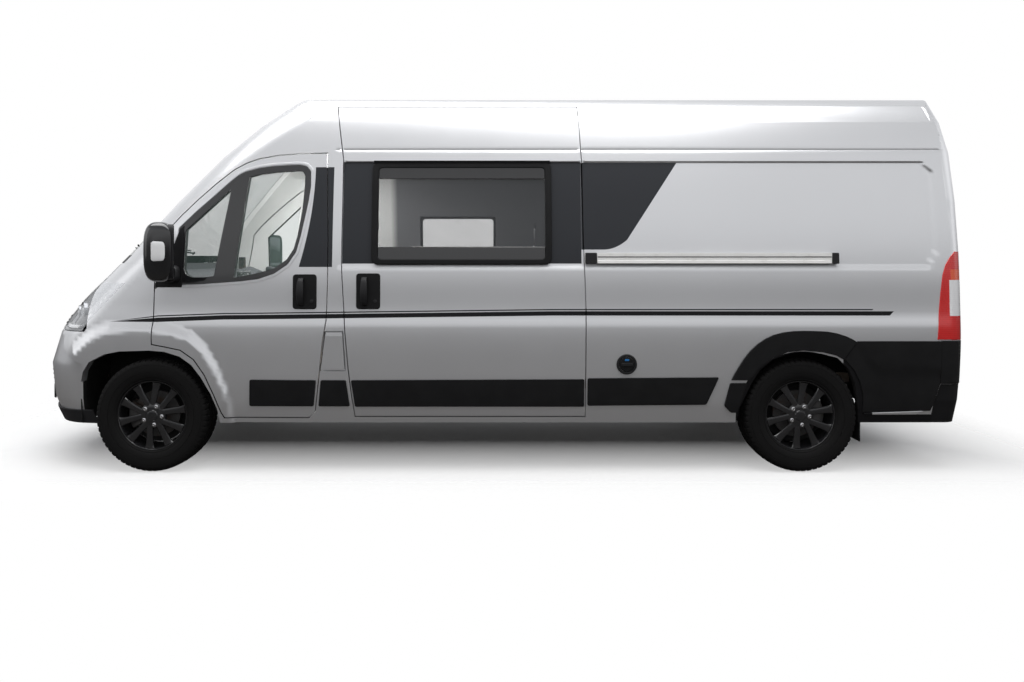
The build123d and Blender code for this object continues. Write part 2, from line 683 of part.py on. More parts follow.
save("wheel_houses", both(house), both(back_house))

# wheels
axle_z = tyre_radius


def disc(cx, y, r, width):
    """A round plate across the axle from y outwards."""
    return Solid.make_cylinder(r, width, Plane(origin=(cx, y, axle_z), z_dir=(0, -1, 0)))


def turned(cx, cy, profile):
    wire = chain([Vector(cx + r, cy + y, axle_z) for r, y in profile])
    return Solid.revolve(Face(wire), 360, Axis((cx, cy, axle_z), (0, 1, 0)))


spoke_pairs = 5
spoke_turn = 29.5
spoke_split = 18.5


def wheel_parts(cx, cy):
    half = tyre_width / 2
    bead = rim_width / 2
    shoulder = tyre_radius - 12
    side = [(rim_radius, bead), (rim_radius + 20, bead + 8), (rim_radius + 67, half), (shoulder - 22, half),
            (shoulder, half - 10), (tyre_radius - 3, half - 26), (tyre_radius, half - 50)]
    tyre = turned(cx, cy, [(r, -y) for r, y in side] + side[::-1])
    r = rim_radius - seat_fit
    lip = bead - 1
    rim = turned(cx, cy, [(r, -lip), (r, lip), (r - 12, lip), (r - 14, 40), (r - 30, 10), (r - 30, -20),
                          (r - 16, -50), (r - 14, -lip)])
    face = [disc(cx, cy - 62, 78, 36)]
    for pair in range(spoke_pairs):
        for side_turn in (-spoke_split, spoke_split):
            turn = spoke_turn + pair * 360 / spoke_pairs
            a, b = math.radians(turn + side_turn), math.radians(turn + side_turn * 0.55)
            p0 = (50 * math.cos(b), 50 * math.sin(b))
            p1 = ((r - 8) * math.cos(a), (r - 8) * math.sin(a))
            n = math.hypot(p1[0] - p0[0], p1[1] - p0[1])
            ux, uz = (p1[0] - p0[0]) / n, (p1[1] - p0[1]) / n
            arm_points = [(p0[0] - uz * 17, p0[1] + ux * 17), (p1[0] - uz * 12, p1[1] + ux * 12),
                          (p1[0] + uz * 12, p1[1] - ux * 12), (p0[0] + uz * 17, p0[1] - ux * 17)]
            face.append(prism_y([(cx + px, axle_z + pz) for px, pz in arm_points], cy - 88, cy - 64))
    bore = disc(cx, cy + 40, spindle_radius + running_fit, 130)
    hub = join(disc(cx, cy - 12, 65, 49.7), disc(cx, cy + 10, disc_radius, 24))
    return tyre, cut(join(rim, face), bore), cut(hub, bore)


for label, cx, cy in (("front", front_axle_x, -front_half_track), ("rear", rear_axle_x, -rear_half_track)):
    for part_name, piece in zip(("tyre", "rim", "hub"), wheel_parts(cx, cy)):
        handed(f"{part_name}_{label}", piece)

# steering knuckles, arms and axles
fx = front_axle_x
ky = -kingpin_y
top_z, bottom_z = axle_z + kingpin_reach, axle_z - kingpin_reach
knuckle = join(box(fx - 32, fx + 32, ky - 25, ky + 25, bottom_z, top_z),
               rod((fx, ky - 20, axle_z), (fx, -front_half_track - spindle_reach, axle_z), spindle_radius),
               box(fx + 30, fx + 150, ky - 10, ky + 15, axle_z - 52, axle_z - 22))
for z0, z1 in ((bottom_z - 5, bottom_z + 40), (top_z - 40, top_z + 5)):
    knuckle = cut(knuckle, rod((fx, ky, z0), (fx, ky, z1), kingpin_radius + running_fit))
handed("knuckle", knuckle)
rail_y0, rail_y1 = chassis_rail
arm_low = bottom_z - arm_gap - arm_thick
arm_high = top_z + arm_gap
floor_low = floor_z - seat_fit
frame = [box(fx - 60, fx + 60, -rail_y1, rail_y1, arm_low, arm_low + 44),
         box(chassis_nose - 10, chassis_nose + 50, -rail_y1, rail_y1, chassis_low, floor_low)]
for s in (-1, 1):
    y0, y1 = s * (kingpin_y + arm_half), s * rail_y0
    frame += [box(fx - arm_half, fx + arm_half, y0, y1, arm_low, arm_low + arm_thick),
              rod((fx, s * kingpin_y, arm_low + 4), (fx, s * kingpin_y, bottom_z + 38), kingpin_radius),
              box(fx - arm_half, fx + arm_half, y0, y1, arm_high, arm_high + arm_thick),
              rod((fx, s * kingpin_y, top_z - 38), (fx, s * kingpin_y, arm_high + 10), kingpin_radius),
              box(chassis_nose, fx + 200, s * rail_y0, s * rail_y1, chassis_low, floor_low),
              box(fx - 60, fx + 60, s * rail_y0, s * rail_y1, arm_low, floor_low)]
save("front_subframe", join(frame))
seat_z = axle_z + axle_tube_radius + seat_fit
beam_half = rear_half_track - 27
save("rear_axle", join(rod((rear_axle_x, -rear_half_track - spindle_reach, axle_z),
                           (rear_axle_x, rear_half_track + spindle_reach, axle_z), spindle_radius),
                       rod((rear_axle_x, -beam_half, axle_z), (rear_axle_x, beam_half, axle_z),
                           axle_tube_radius)))
ax = rear_axle_x
spring_side = [(ax - 604, floor_low), (ax - 604, 470), (ax - 284, seat_z + 8), (ax, seat_z),
               (ax + 276, seat_z + 8),
               (ax + 616, 470), (ax + 616, floor_low), (ax + 576, floor_low), (ax + 576, 490),
               (ax + 276, seat_z + 33), (ax, seat_z + 26), (ax - 284, seat_z + 33), (ax - 564, 490),
               (ax - 564, floor_low)]
save("leaf_springs", both(prism_y(spring_side, -spring_y - spring_width / 2, -spring_y + spring_width / 2)))
save("engine_block", box(*engine_x, -engine_half, engine_half, floor_z, engine_top))
save("fuel_tank", box(*tank_x, *tank_y, tank_low, floor_low))
pipe = [rod((400, pipe_y, pipe_z), (1300, pipe_y, pipe_z), silencer_radius),
        rod((1290, pipe_y, pipe_z), (1365, pipe_y, pipe_z), pipe_radius),
        rod((-1400, pipe_y, pipe_z), (410, pipe_y, pipe_z), pipe_radius)]
hangers = [box(x, x + 20, pipe_y - 15, pipe_y + 15, pipe_z + 20, floor_low) for x in (-1300, -200, 840, 1330)]
save("exhaust", join(pipe, hangers))

# cab
dash_side = [(bulk_back + seat_fit, 900), (-1800, 900), (-1735, 1000), (-1790, 1150), (-2000, 1235),
             (bulk_back + seat_fit, 1250)]
dash = keep(prism_y(dash_side, -820, 820), inner)
centre = Vector(*steering_centre)
lean = Vector(*steering_slope)
shroud = prism_y([(-1658, 1090), (-1572, 1040), (-1682, 849), (-1850, 920), (-1850, 1110)],
                 steering_centre[1] - 55, steering_centre[1] + 55)
socket_rod = rod(tuple(centre - lean * column_length), tuple(centre - lean * 60), column_radius)
save("dashboard", cut(join(dash, shroud), socket_rod))
save("steering_column", rod(tuple(centre - lean * (column_length - seat_fit)), tuple(centre - lean * 70),
                            column_radius - seat_fit))
grip_plane = Plane(origin=steering_centre, x_dir=(0, 1, 0), z_dir=steering_slope)
wheel = Solid.make_torus(steering_radius, steering_grip, grip_plane.rotated((0, 0, 37)))
spoke_length = steering_radius - 5
spoke_half = 17.0
spoke_thick = 12.0
for turn in (0, 180, 270):
    spoke = Solid.make_box(spoke_length, 2 * spoke_half, spoke_thick)
    spoke = spoke.moved(Location((0, -spoke_half, -spoke_thick / 2)))
    wheel = wheel + spoke.moved(grip_plane.location * Location((0, 0, 0), (0, 0, turn)))
wheel = wheel + rod(tuple(centre - lean * (70 - seat_fit)), tuple(centre + lean * 15), 40)
save("steering_wheel", wheel)
seat_side = [(-1500, 850), (-1060, 820), (-960, 920), (-850, 1480), (-960, 1510), (-1090, 1000), (-1500, 980)]
seat_y0, seat_y1 = -seat_inner - seat_width, -seat_inner
seat = join(prism_y(seat_side, seat_y0, seat_y1), box(-1440, -1080, seat_y0 + 60, seat_y1 - 60, deck, 880),
            box(-935, -845, seat_y0 + 130, seat_y1 - 130, 1460, 1680))
save("cab_seats", both(seat))

# living space
around = cut(box(kitchen_x[0] - 50, kitchen_x[1] + 50, 0, side_out + 50, 0, sky), inner)
kitchen = cut(box(*kitchen_x, kitchen_y, side_out, deck, worktop_z), around)
bed_half = arch_depth["rear"] - 20
save("furniture", larger(kitchen, 1e6), box(*bed_x, -bed_half, bed_half, deck, bed_z))
save("mattress", box(bed_x[0] + 10, bed_x[1] - 20, -bed_half + 10, bed_half - 10, bed_z + seat_fit,
                     bed_z + mattress_thick))

rail_side = [(rail_x[0], rail_z[0]), (rail_x[1], rail_z[0]), (rail_x[1], rail_z[1]), (rail_x[0], rail_z[1])]
rail_y = skin_half(rail_x[0], rail_z[0]) + rail_proud
save("door_rail", larger(cut(prism_y(rail_side, -rail_y, -rail_y + 60), outer), 1e4))
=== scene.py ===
import bpy
import bmesh
import json
import math
import numpy as np
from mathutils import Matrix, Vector
from mathutils.geometry import delaunay_2d_cdt


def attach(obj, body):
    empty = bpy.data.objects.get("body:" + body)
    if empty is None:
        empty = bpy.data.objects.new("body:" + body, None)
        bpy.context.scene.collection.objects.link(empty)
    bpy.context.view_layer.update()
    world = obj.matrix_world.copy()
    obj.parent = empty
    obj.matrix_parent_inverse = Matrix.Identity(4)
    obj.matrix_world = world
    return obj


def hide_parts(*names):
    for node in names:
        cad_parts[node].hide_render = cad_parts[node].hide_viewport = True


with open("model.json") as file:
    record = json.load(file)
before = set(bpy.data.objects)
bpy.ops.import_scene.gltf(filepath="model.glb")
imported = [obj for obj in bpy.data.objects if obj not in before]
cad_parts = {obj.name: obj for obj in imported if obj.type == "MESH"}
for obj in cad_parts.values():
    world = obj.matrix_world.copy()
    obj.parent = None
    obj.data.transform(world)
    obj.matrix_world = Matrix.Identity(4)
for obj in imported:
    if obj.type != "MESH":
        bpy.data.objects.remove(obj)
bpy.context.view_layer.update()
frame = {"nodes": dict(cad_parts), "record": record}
nodes = frame["nodes"]
bodyOf = {n: b for b, members in frame["record"]["behaviour"]["bodies"].items() for n in members}
print("frame loaded:", len(nodes), "nodes")


class Wire:
    # wraps an output socket so that it can be used in sums
    def __init__(self, finish, socket):
        self.finish = finish
        self.socket = socket

    def calc(self, operation, *others):
        values = {i + 1: o for i, o in enumerate(others)}
        return self.finish.add("ShaderNodeMath", {"operation": operation}, {0: self, **values})

    def __add__(self, other):
        return self.calc("ADD", other)

    def __sub__(self, other):
        return self.calc("SUBTRACT", other)

    def __mul__(self, other):
        return self.calc("MULTIPLY", other)

    def __truediv__(self, other):
        return self.calc("DIVIDE", other)

    def __rsub__(self, other):
        return self.finish.add("ShaderNodeMath", {"operation": "SUBTRACT"}, {0: other, 1: self})

    def __rtruediv__(self, other):
        return self.finish.add("ShaderNodeMath", {"operation": "DIVIDE"}, {0: other, 1: self})

    __radd__ = __add__
    __rmul__ = __mul__

    def above(self, edge, soft=0.001):
        # 0 below the edge, 1 above it
        return ((self - edge) / soft + 0.5).calc("MINIMUM", 1.0).calc("MAXIMUM", 0.0)

    def below(self, edge, soft=0.001):
        return 1.0 - self.above(edge, soft)

    def between(self, low, high):
        return self.above(low) * self.below(high)

    def either(self, other):
        return self.calc("MAXIMUM", other)


class Finish:
    # one material being built
    def __init__(self, name, metallic=0.0, roughness=0.5, **fixed):
        self.material = bpy.data.materials.new(name)
        self.material.use_nodes = True
        self.tree = self.material.node_tree
        self.surface = self.tree.nodes["Principled BSDF"]
        self.surface.inputs["Metallic"].default_value = metallic
        self.surface.inputs["Roughness"].default_value = roughness
        for key, value in fixed.items():
            self.surface.inputs[key.replace("_", " ")].default_value = value
        self.place = None

    def add(self, kind, settings=None, sockets=None, out=0):
        node = self.tree.nodes.new(kind)
        for key, value in (settings or {}).items():
            setattr(node, key, value)
        for key, value in (sockets or {}).items():
            if isinstance(value, Wire):
                self.tree.links.new(value.socket, node.inputs[key])
            else:
                node.inputs[key].default_value = value
        return Wire(self, node.outputs[out])

    def position(self):
        # the point in the vehicle's own axes, in metres
        if self.place is None:
            spot = self.add("ShaderNodeTexCoord", out="Object")
            parts = self.tree.nodes.new("ShaderNodeSeparateXYZ")
            self.tree.links.new(spot.socket, parts.inputs[0])
            self.place = (Wire(self, parts.outputs[0]), Wire(self, parts.outputs[1]),
                          Wire(self, parts.outputs[2]), spot)
        return self.place

    def noise(self, scale, detail, roughness=0.5, at=None):
        spot = at or self.position()[3]
        return self.add("ShaderNodeTexNoise", {}, {"Vector": spot, "Scale": scale, "Detail": detail,
                                                   "Roughness": roughness}, out="Fac")

    def stretched(self, x, y, z):
        return self.add("ShaderNodeVectorMath", {"operation": "MULTIPLY"},
                        {0: self.position()[3], 1: (x, y, z)})

    def mix(self, mask, first, second):
        node = self.tree.nodes.new("ShaderNodeMix")
        node.data_type = "RGBA"
        for socket, value in ((node.inputs[0], mask), (node.inputs[6], first), (node.inputs[7], second)):
            if isinstance(value, Wire):
                self.tree.links.new(value.socket, socket)
            elif isinstance(value, (int, float)):
                socket.default_value = value
            else:
                socket.default_value = (*value, 1.0)
        return Wire(self, node.outputs[2])

    def set(self, **sockets):
        for key, value in sockets.items():
            socket = self.surface.inputs[key.replace("_", " ")]
            if isinstance(value, Wire):
                self.tree.links.new(value.socket, socket)
            elif isinstance(value, tuple) and len(value) == 3 and socket.type == "RGBA":
                socket.default_value = (*value, 1.0)
            else:
                socket.default_value = value
        return self

    def bump(self, height, strength, distance):
        out = self.add("ShaderNodeBump", {}, {"Height": height, "Strength": strength, "Distance": distance})
        self.tree.links.new(out.socket, self.surface.inputs["Normal"])
        return self

    def mixShaders(self, mask, second):
        # the second shader shows where the mask is 1
        mixer = self.tree.nodes.new("ShaderNodeMixShader")
        self.tree.links.new(mask.socket, mixer.inputs[0])
        self.tree.links.new(self.surface.outputs[0], mixer.inputs[1])
        self.tree.links.new(second.outputs[0], mixer.inputs[2])
        self.tree.links.new(mixer.outputs[0], self.tree.nodes["Material Output"].inputs["Surface"])


paintLook = {
    "silver": (0.76, 0.765, 0.78), "shade": (0.68, 0.685, 0.7), "decal": (0.03, 0.032, 0.037),
    "stripe": (0.006, 0.006, 0.007), "roughness": 0.34, "coat": 0.55, "flankFrom": 0.7,
}
filmLook = {
    # heights and ends of the dark panels, the slant of the rear one and the curve of the front one
    "low": 1.298, "high": 1.938, "doorFrom": -0.866, "doorTo": 0.622, "rearTo": 1.26, "rearHigh": 1.934,
    "slant": 0.66, "slantX": 0.89, "slantZ": 1.42, "curlX": 0.76, "curlWide": 0.16, "curlRise": 2.8,
    "curlZ": 1.385, "frontLow": 1.277, "frontHigh": 1.905, "frontTo": -0.926, "bowZ": 1.9, "bow": -0.235,
    "bowX": -1.043,
}
lineLook = {"start": -2.33, "taper": 3.2, "kneeX": -1.6, "kneeZ": 0.9645, "steep": 0.04, "gentle": 0.0125,
            "top": 0.99, "wide": 0.0135, "wideTo": 2.54, "thin": 0.0039, "thinOff": 0.0235,
            "thinTo": 2.4}
lowerLook = {
    # rear wheel centre, rim of its arch, and the dark edge of the body behind it
    "wheelX": 1.984, "wheelZ": 0.352, "rim": 0.4045, "rimFrom": 1.5, "rimTop": 0.8, "behind": 0.44,
    "behindFrom": 2.236, "behindTop": 0.706, "edgeFrom": 2.365, "edgeTop": 0.362,
}


def filmMask(f, look):
    # dark film panels between the gutter and the shoulder
    x, y, z, spot = f.position()
    slant = ((z - look["slantZ"]) * look["slant"] + look["slantX"]).calc("MAXIMUM", 0.0)
    corner = (x - look["curlX"]).calc("MAXIMUM", 0.0).calc("MINIMUM", look["curlWide"])
    curl = z.above(corner * corner * look["curlRise"] + look["curlZ"])
    rear = x.between(look["doorTo"], look["rearTo"]) * x.below(slant) * curl * z.below(look["rearHigh"])
    door = x.between(look["doorFrom"], look["doorTo"]) * z.between(look["low"], look["high"])
    up = look["bowZ"] - z
    front = x.above(up * up * look["bow"] + look["bowX"]) * x.below(look["frontTo"])
    front = front * z.between(look["frontLow"], look["frontHigh"])
    return rear.either(door).either(front)


def lineMask(f, look):
    # coach line that rises towards the tail, with a thin line over it
    x, y, z, spot = f.position()
    past = x - look["kneeX"]
    steep = past * look["steep"] + look["kneeZ"]
    gentle = past * look["gentle"] + look["kneeZ"]
    off = z - steep.calc("MINIMUM", gentle).calc("MINIMUM", look["top"])
    taper = ((x - look["start"]) * look["taper"]).calc("MINIMUM", 1.0).calc("MAXIMUM", 0.0)
    wide = off.calc("ABSOLUTE").below(taper * look["wide"]) * x.below(look["wideTo"] + off)
    thin = (off - taper * look["thinOff"]).calc("ABSOLUTE").below(taper * look["thin"])
    return x.above(look["start"]) * wide.either(thin * x.below(look["thinTo"] + off))


def lowerMask(f, look):
    # dark lower edge behind the rear wheel, and the rim of the arch
    x, y, z, spot = f.position()
    dx, dz = x - look["wheelX"], z - look["wheelZ"]
    fromWheel = (dx * dx + dz * dz).calc("SQRT")
    rim = fromWheel.below(look["rim"]) * x.above(look["rimFrom"]) * z.below(look["rimTop"])
    behind = fromWheel.below(look["behind"]) * x.above(look["behindFrom"]) * z.below(look["behindTop"])
    edge = x.above(look["edgeFrom"]) * z.below(look["edgeTop"])
    return rim.either(behind).either(edge)


def makePaint():
    f = Finish("silverPaint", metallic=0.75, roughness=paintLook["roughness"], Coat_Roughness=0.14,
               Coat_IOR=1.45)
    x, y, z, spot = f.position()
    flake = f.noise(900.0, 1.0, 0.4)
    cloud = f.noise(1.3, 2.0)
    base = f.mix(cloud * 0.5 + flake * 0.35, paintLook["shade"], paintLook["silver"])
    side = y.calc("ABSOLUTE").above(paintLook["flankFrom"])
    film = side * filmMask(f, filmLook)
    stripe = side * lineMask(f, lineLook).either(lowerMask(f, lowerLook))
    colour = f.mix(film, base, paintLook["decal"])
    colour = f.mix(stripe, colour, paintLook["stripe"])
    dust = f.noise(6.0, 4.0, 0.6)
    f.set(Base_Color=base, Roughness=dust * 0.05 + 0.3, Coat_Weight=paintLook["coat"])
    f.bump(f.noise(1400.0, 1.0), 0.015, 0.0002)
    # the film and the coach line shine less than the lacquer
    cover = f.tree.nodes.new("ShaderNodeBsdfPrincipled")
    cover.inputs["Roughness"].default_value = 0.42
    cover.inputs["Specular IOR Level"].default_value = 0.22
    f.tree.links.new(colour.socket, cover.inputs["Base Color"])
    f.mixShaders(film.either(stripe), cover)
    return f.material


def makePlastic(name, colour, roughness, grain=900.0, depth=0.12, shine=0.22):
    f = Finish(name, roughness=roughness, Specular_IOR_Level=shine)
    worn = f.noise(9.0, 4.0, 0.6)
    lighter = tuple(min(1.0, c * 1.5 + 0.004) for c in colour)
    f.set(Base_Color=f.mix(worn, colour, lighter), Roughness=worn * 0.16 + (roughness - 0.08))
    f.bump(f.noise(grain, 2.0, 0.6), depth, 0.0006)
    return f.material


def makeGloss(name, colour, roughness=0.12):
    f = Finish(name, roughness=roughness, Coat_Weight=0.6, Coat_Roughness=0.05)
    swirl = f.noise(14.0, 3.0)
    lighter = tuple(min(1.0, c * 1.3 + 0.003) for c in colour)
    f.set(Base_Color=f.mix(swirl, colour, lighter), Roughness=swirl * 0.1 + roughness * 0.7)
    f.bump(f.noise(120.0, 2.0), 0.03, 0.0003)
    return f.material


def makeMetal(name, colour, roughness, grain=60.0):
    f = Finish(name, metallic=1.0, roughness=roughness)
    streak = f.noise(grain, 4.0, 0.6)
    darker = tuple(c * 0.8 for c in colour)
    f.set(Base_Color=f.mix(streak, darker, colour), Roughness=streak * 0.2 + (roughness - 0.1))
    f.bump(streak, 0.08, 0.0005)
    return f.material


def makeCast(name, colour, rust):
    f = Finish(name, metallic=0.35, roughness=0.7)
    patches = f.noise(11.0, 5.0, 0.65)
    mask = patches.above(0.56, 0.14)
    f.set(Base_Color=f.mix(mask, colour, rust), Metallic=0.5 - mask * 0.4, Roughness=mask * 0.2 + 0.55)
    f.bump(f.noise(320.0, 3.0), 0.3, 0.001)
    return f.material


def makeGlass(name, tint, clear, roughness=0.02):
    # thin sheet: a see-through part and a reflecting part
    f = Finish(name, roughness=roughness, Transmission_Weight=0.0, Coat_Weight=1.0, Coat_Roughness=0.02)
    smear = f.noise(5.0, 4.0, 0.6)
    f.set(Base_Color=f.mix(smear, tint, tuple(c * 1.15 for c in tint)), Roughness=smear * 0.05 + roughness,
          Alpha=smear * 0.06 + (1.0 - clear))
    f.bump(f.noise(2.5, 2.0), 0.02, 0.002)
    f.material.surface_render_method = "DITHERED"
    return f.material


def makeTyre():
    f = Finish("tyreRubber", roughness=0.78, Specular_IOR_Level=0.15)
    worn = f.noise(22.0, 5.0, 0.65)
    dust = f.noise(4.0, 3.0)
    f.set(Base_Color=f.mix(worn * 0.6 + dust * 0.3, (0.0035, 0.0035, 0.004), (0.011, 0.0105, 0.01)),
          Roughness=worn * 0.2 + 0.62)
    f.bump(f.noise(700.0, 3.0, 0.6), 0.25, 0.0008)
    return f.material


def makeCloth(name, colour, second):
    weave = 620.0
    f = Finish(name, roughness=0.9, Sheen_Weight=0.35, Sheen_Roughness=0.5)
    x, y, z, spot = f.position()
    warp = ((x + y * 0.7) * weave).calc("SINE")
    weft = ((z + y * 0.7) * weave).calc("SINE")
    weaving = (warp * weft) * 0.5 + 0.5
    mottle = f.noise(30.0, 4.0, 0.6)
    f.set(Base_Color=f.mix(weaving * 0.4 + mottle * 0.5, colour, second), Roughness=mottle * 0.15 + 0.8)
    f.bump(weaving + mottle * 0.5, 0.3, 0.0008)
    return f.material


def makeWood(name, pale, dark):
    f = Finish(name, roughness=0.45, Coat_Weight=0.1)
    grain = f.noise(26.0, 6.0, 0.6, at=f.stretched(0.25, 1.0, 3.0))
    fine = f.noise(160.0, 3.0, 0.6, at=f.stretched(0.1, 1.0, 2.0))
    f.set(Base_Color=f.mix(grain * 0.7 + fine * 0.3, pale, dark), Roughness=fine * 0.2 + 0.35)
    f.bump(fine, 0.1, 0.0006)
    return f.material


def makeTailLens():
    # red lens with its pale reversing part, ribbed inside
    f = Finish("tailLens", roughness=0.16, Coat_Weight=0.5, Coat_Roughness=0.05)
    x, y, z, spot = f.position()
    pale = z.between(0.975, 1.197) * x.above(2.896)
    amber = z.between(1.197, 1.262) * x.above(2.905)
    ribs = (z * 520.0).calc("SINE")
    shade = f.noise(20.0, 3.0) * 0.3 + ribs * 0.12 + 0.4
    red = f.mix(shade, (0.5, 0.012, 0.012), (0.72, 0.03, 0.028))
    f.set(Base_Color=f.mix(pale, f.mix(amber, red, (0.75, 0.1, 0.03)), (0.82, 0.82, 0.83)),
          Roughness=shade * 0.1 + 0.1)
    f.bump(ribs, 0.15, 0.001)
    return f.material


def makeLining():
    # pale in the cab, darker in the living space
    f = Finish("innerLining", roughness=0.75)
    x, y, z, spot = f.position()
    felt = f.noise(160.0, 4.0, 0.6)
    pale = f.mix(felt, (0.64, 0.645, 0.63), (0.72, 0.725, 0.71))
    grey = f.mix(felt, (0.11, 0.112, 0.118), (0.15, 0.152, 0.158))
    f.set(Base_Color=f.mix(x.above(-0.78, 0.06), pale, grey), Roughness=felt * 0.2 + 0.65)
    f.bump(felt, 0.2, 0.001)
    return f.material


paint = makePaint()
blackPlastic = makePlastic("blackPlastic", (0.012, 0.012, 0.013), 0.5)
trimPlastic = makePlastic("trimPlastic", (0.0065, 0.0065, 0.007), 0.52, 1200.0, 0.06, 0.16)
underPlastic = makePlastic("underbodyPlastic", (0.01, 0.01, 0.01), 0.8, 400.0, 0.3)
glossBlack = makeGloss("glossBlack", (0.01, 0.01, 0.011))
alloyBlack = makeGloss("alloyBlack", (0.012, 0.012, 0.013), 0.22)
sealRubber = makePlastic("sealRubber", (0.01, 0.01, 0.011), 0.7, 600.0, 0.1)
chrome = makeMetal("brightMetal", (0.78, 0.78, 0.8), 0.16)
satinRail = makeGloss("satinRail", (0.8, 0.79, 0.76), 0.34)
discIron = makeCast("discIron", (0.075, 0.073, 0.072), (0.06, 0.035, 0.022))
innerLining = makeLining()
chassisBlack = makeCast("chassisBlack", (0.02, 0.02, 0.02), (0.06, 0.04, 0.03))
tyreRubber = makeTyre()
cabGlass = makeGlass("cabGlass", (0.2, 0.3, 0.265), 0.92)
screenGlass = makeGlass("screenGlass", (0.05, 0.08, 0.075), 0.72)
smokedAcrylic = makeGlass("smokedAcrylic", (0.04, 0.044, 0.05), 0.76, 0.06)
# painted light: the far window's pane is a paler, clearer copy of the smoked acrylic, so that it reads bright
# as if lit from behind
paleBacklitAcrylic = makeGlass("paleBacklitAcrylic", (0.2, 0.21, 0.22), 0.94, 0.05)
lampLens = makeGlass("lampLens", (0.75, 0.77, 0.8), 0.72)
redLens = makeTailLens()
darkMirror = makeMetal("darkReflector", (0.34, 0.35, 0.37), 0.22, 30.0)
whiteLens = makeGloss("whiteLens", (0.8, 0.81, 0.82), 0.14)
cabPlastic = makePlastic("cabPlastic", (0.05, 0.052, 0.056), 0.6, 500.0, 0.2)
palePlastic = makePlastic("palePlastic", (0.45, 0.46, 0.47), 0.55, 500.0, 0.15)
seatCloth = makeCloth("seatCloth", (0.04, 0.042, 0.048), (0.1, 0.105, 0.115))
mattressCloth = makeCloth("mattressCloth", (0.42, 0.41, 0.39), (0.52, 0.51, 0.49))
mirrorGlass = makeMetal("mirrorGlass", (0.16, 0.17, 0.18), 0.12, 8.0)
clearLens = makeGlass("clearLens", (0.8, 0.82, 0.85), 0.35, 0.05)
blueMark = makeGloss("blueMark", (0.02, 0.16, 0.42), 0.25)
cabinetPale = makePlastic("cabinetPale", (0.36, 0.355, 0.34), 0.4, 300.0, 0.04)
cabinetWood = makeWood("cabinetWood", (0.62, 0.6, 0.57), (0.44, 0.42, 0.39))
floorVinyl = makeWood("floorVinyl", (0.32, 0.27, 0.22), (0.2, 0.16, 0.13))

finishOf = {"tyre": tyreRubber, "rim": alloyBlack, "hub": discIron, "knuckle": chassisBlack,
            "rear_axle": chassisBlack, "front_subframe": chassisBlack, "leaf_springs": chassisBlack,
            "hinge_posts": chassisBlack, "exhaust": chassisBlack, "engine_block": discIron,
            "door_glass": cabGlass, "windscreen": screenGlass, "rear_glass": cabGlass,
            "side_windows": smokedAcrylic, "headlamps": lampLens, "tail_lamps": redLens,
            "mirror": blackPlastic, "cowl_panel": blackPlastic, "grille": glossBlack,
            "fuel_tank": underPlastic, "wheel_houses": underPlastic, "dashboard": cabPlastic,
            "steering": cabPlastic, "bulkhead": cabPlastic, "floor_pan": floorVinyl, "cab_seats": seatCloth,
            "mattress": mattressCloth, "furniture": cabinetPale, "rear_bumper": trimPlastic,
            "door_rail": satinRail}
for name, obj in nodes.items():
    chosen = next((m for key, m in finishOf.items() if name.startswith(key)), paint)
    obj.data.materials.clear()
    obj.data.materials.append(chosen)
print("finishes ready")


# body form, the same rows as the sections of the shell
frontX = -2.999
rearX = 2.999
sideBowX = -0.9
tailRound = 0.09
bodyRows = np.array([
    # height, nose back, bow radius, corner radius, half width, side bow radius, tail forward
    (0.25, 0.105, 1.5, 0.3, 0.975, 16.0, 0.039), (0.45, 0.02, 1.5, 0.3, 1.008, 16.0, 0.014),
    (0.65, 0.0, 1.5, 0.31, 1.02, 16.0, 0.003), (0.85, 0.061, 1.5, 0.32, 1.025, 16.0, 0.0),
    (1.05, 0.205, 1.5, 0.33, 1.017, 14.0, 0.0), (1.35, 0.515, 1.6, 0.35, 1.0, 11.0, 0.0),
    (1.7, 0.871, 1.9, 0.38, 0.96, 9.0, 0.003), (2.0, 1.176, 2.0, 0.4, 0.912, 9.0, 0.015),
    (2.2, 1.417, 2.0, 0.4, 0.862, 9.0, 0.047), (2.35, 1.629, 2.0, 0.38, 0.79, 9.0, 0.091),
    (2.5, 1.879, 2.0, 0.33, 0.69, 9.0, 0.159),
])


def rowsAt(z):
    # smooth columns through the rows, with no overshoot
    h, values = bodyRows[:, 0], bodyRows[:, 1:]
    z = np.clip(np.asarray(z, float), h[0], h[-1])
    k = np.clip(np.searchsorted(h, z) - 1, 0, len(h) - 2)
    steps = np.diff(values, axis=0) / np.diff(h)[:, None]
    product = steps[1:] * steps[:-1]
    total = np.where(np.abs(steps[1:] + steps[:-1]) < 1e-9, 1.0, steps[1:] + steps[:-1])
    slope = np.zeros_like(values)
    slope[1:-1] = np.where(product > 0, 2 * product / total, 0.0)
    slope[0], slope[-1] = steps[0], steps[-1]
    span = (h[k + 1] - h[k])[..., None]
    t = (z - h[k])[..., None] / span
    a = 2 * t ** 3 - 3 * t ** 2 + 1
    b = t ** 3 - 2 * t ** 2 + t
    c = t ** 3 - t ** 2
    return a * values[k] + b * span * slope[k] + (1 - a) * values[k + 1] + c * span * slope[k + 1]


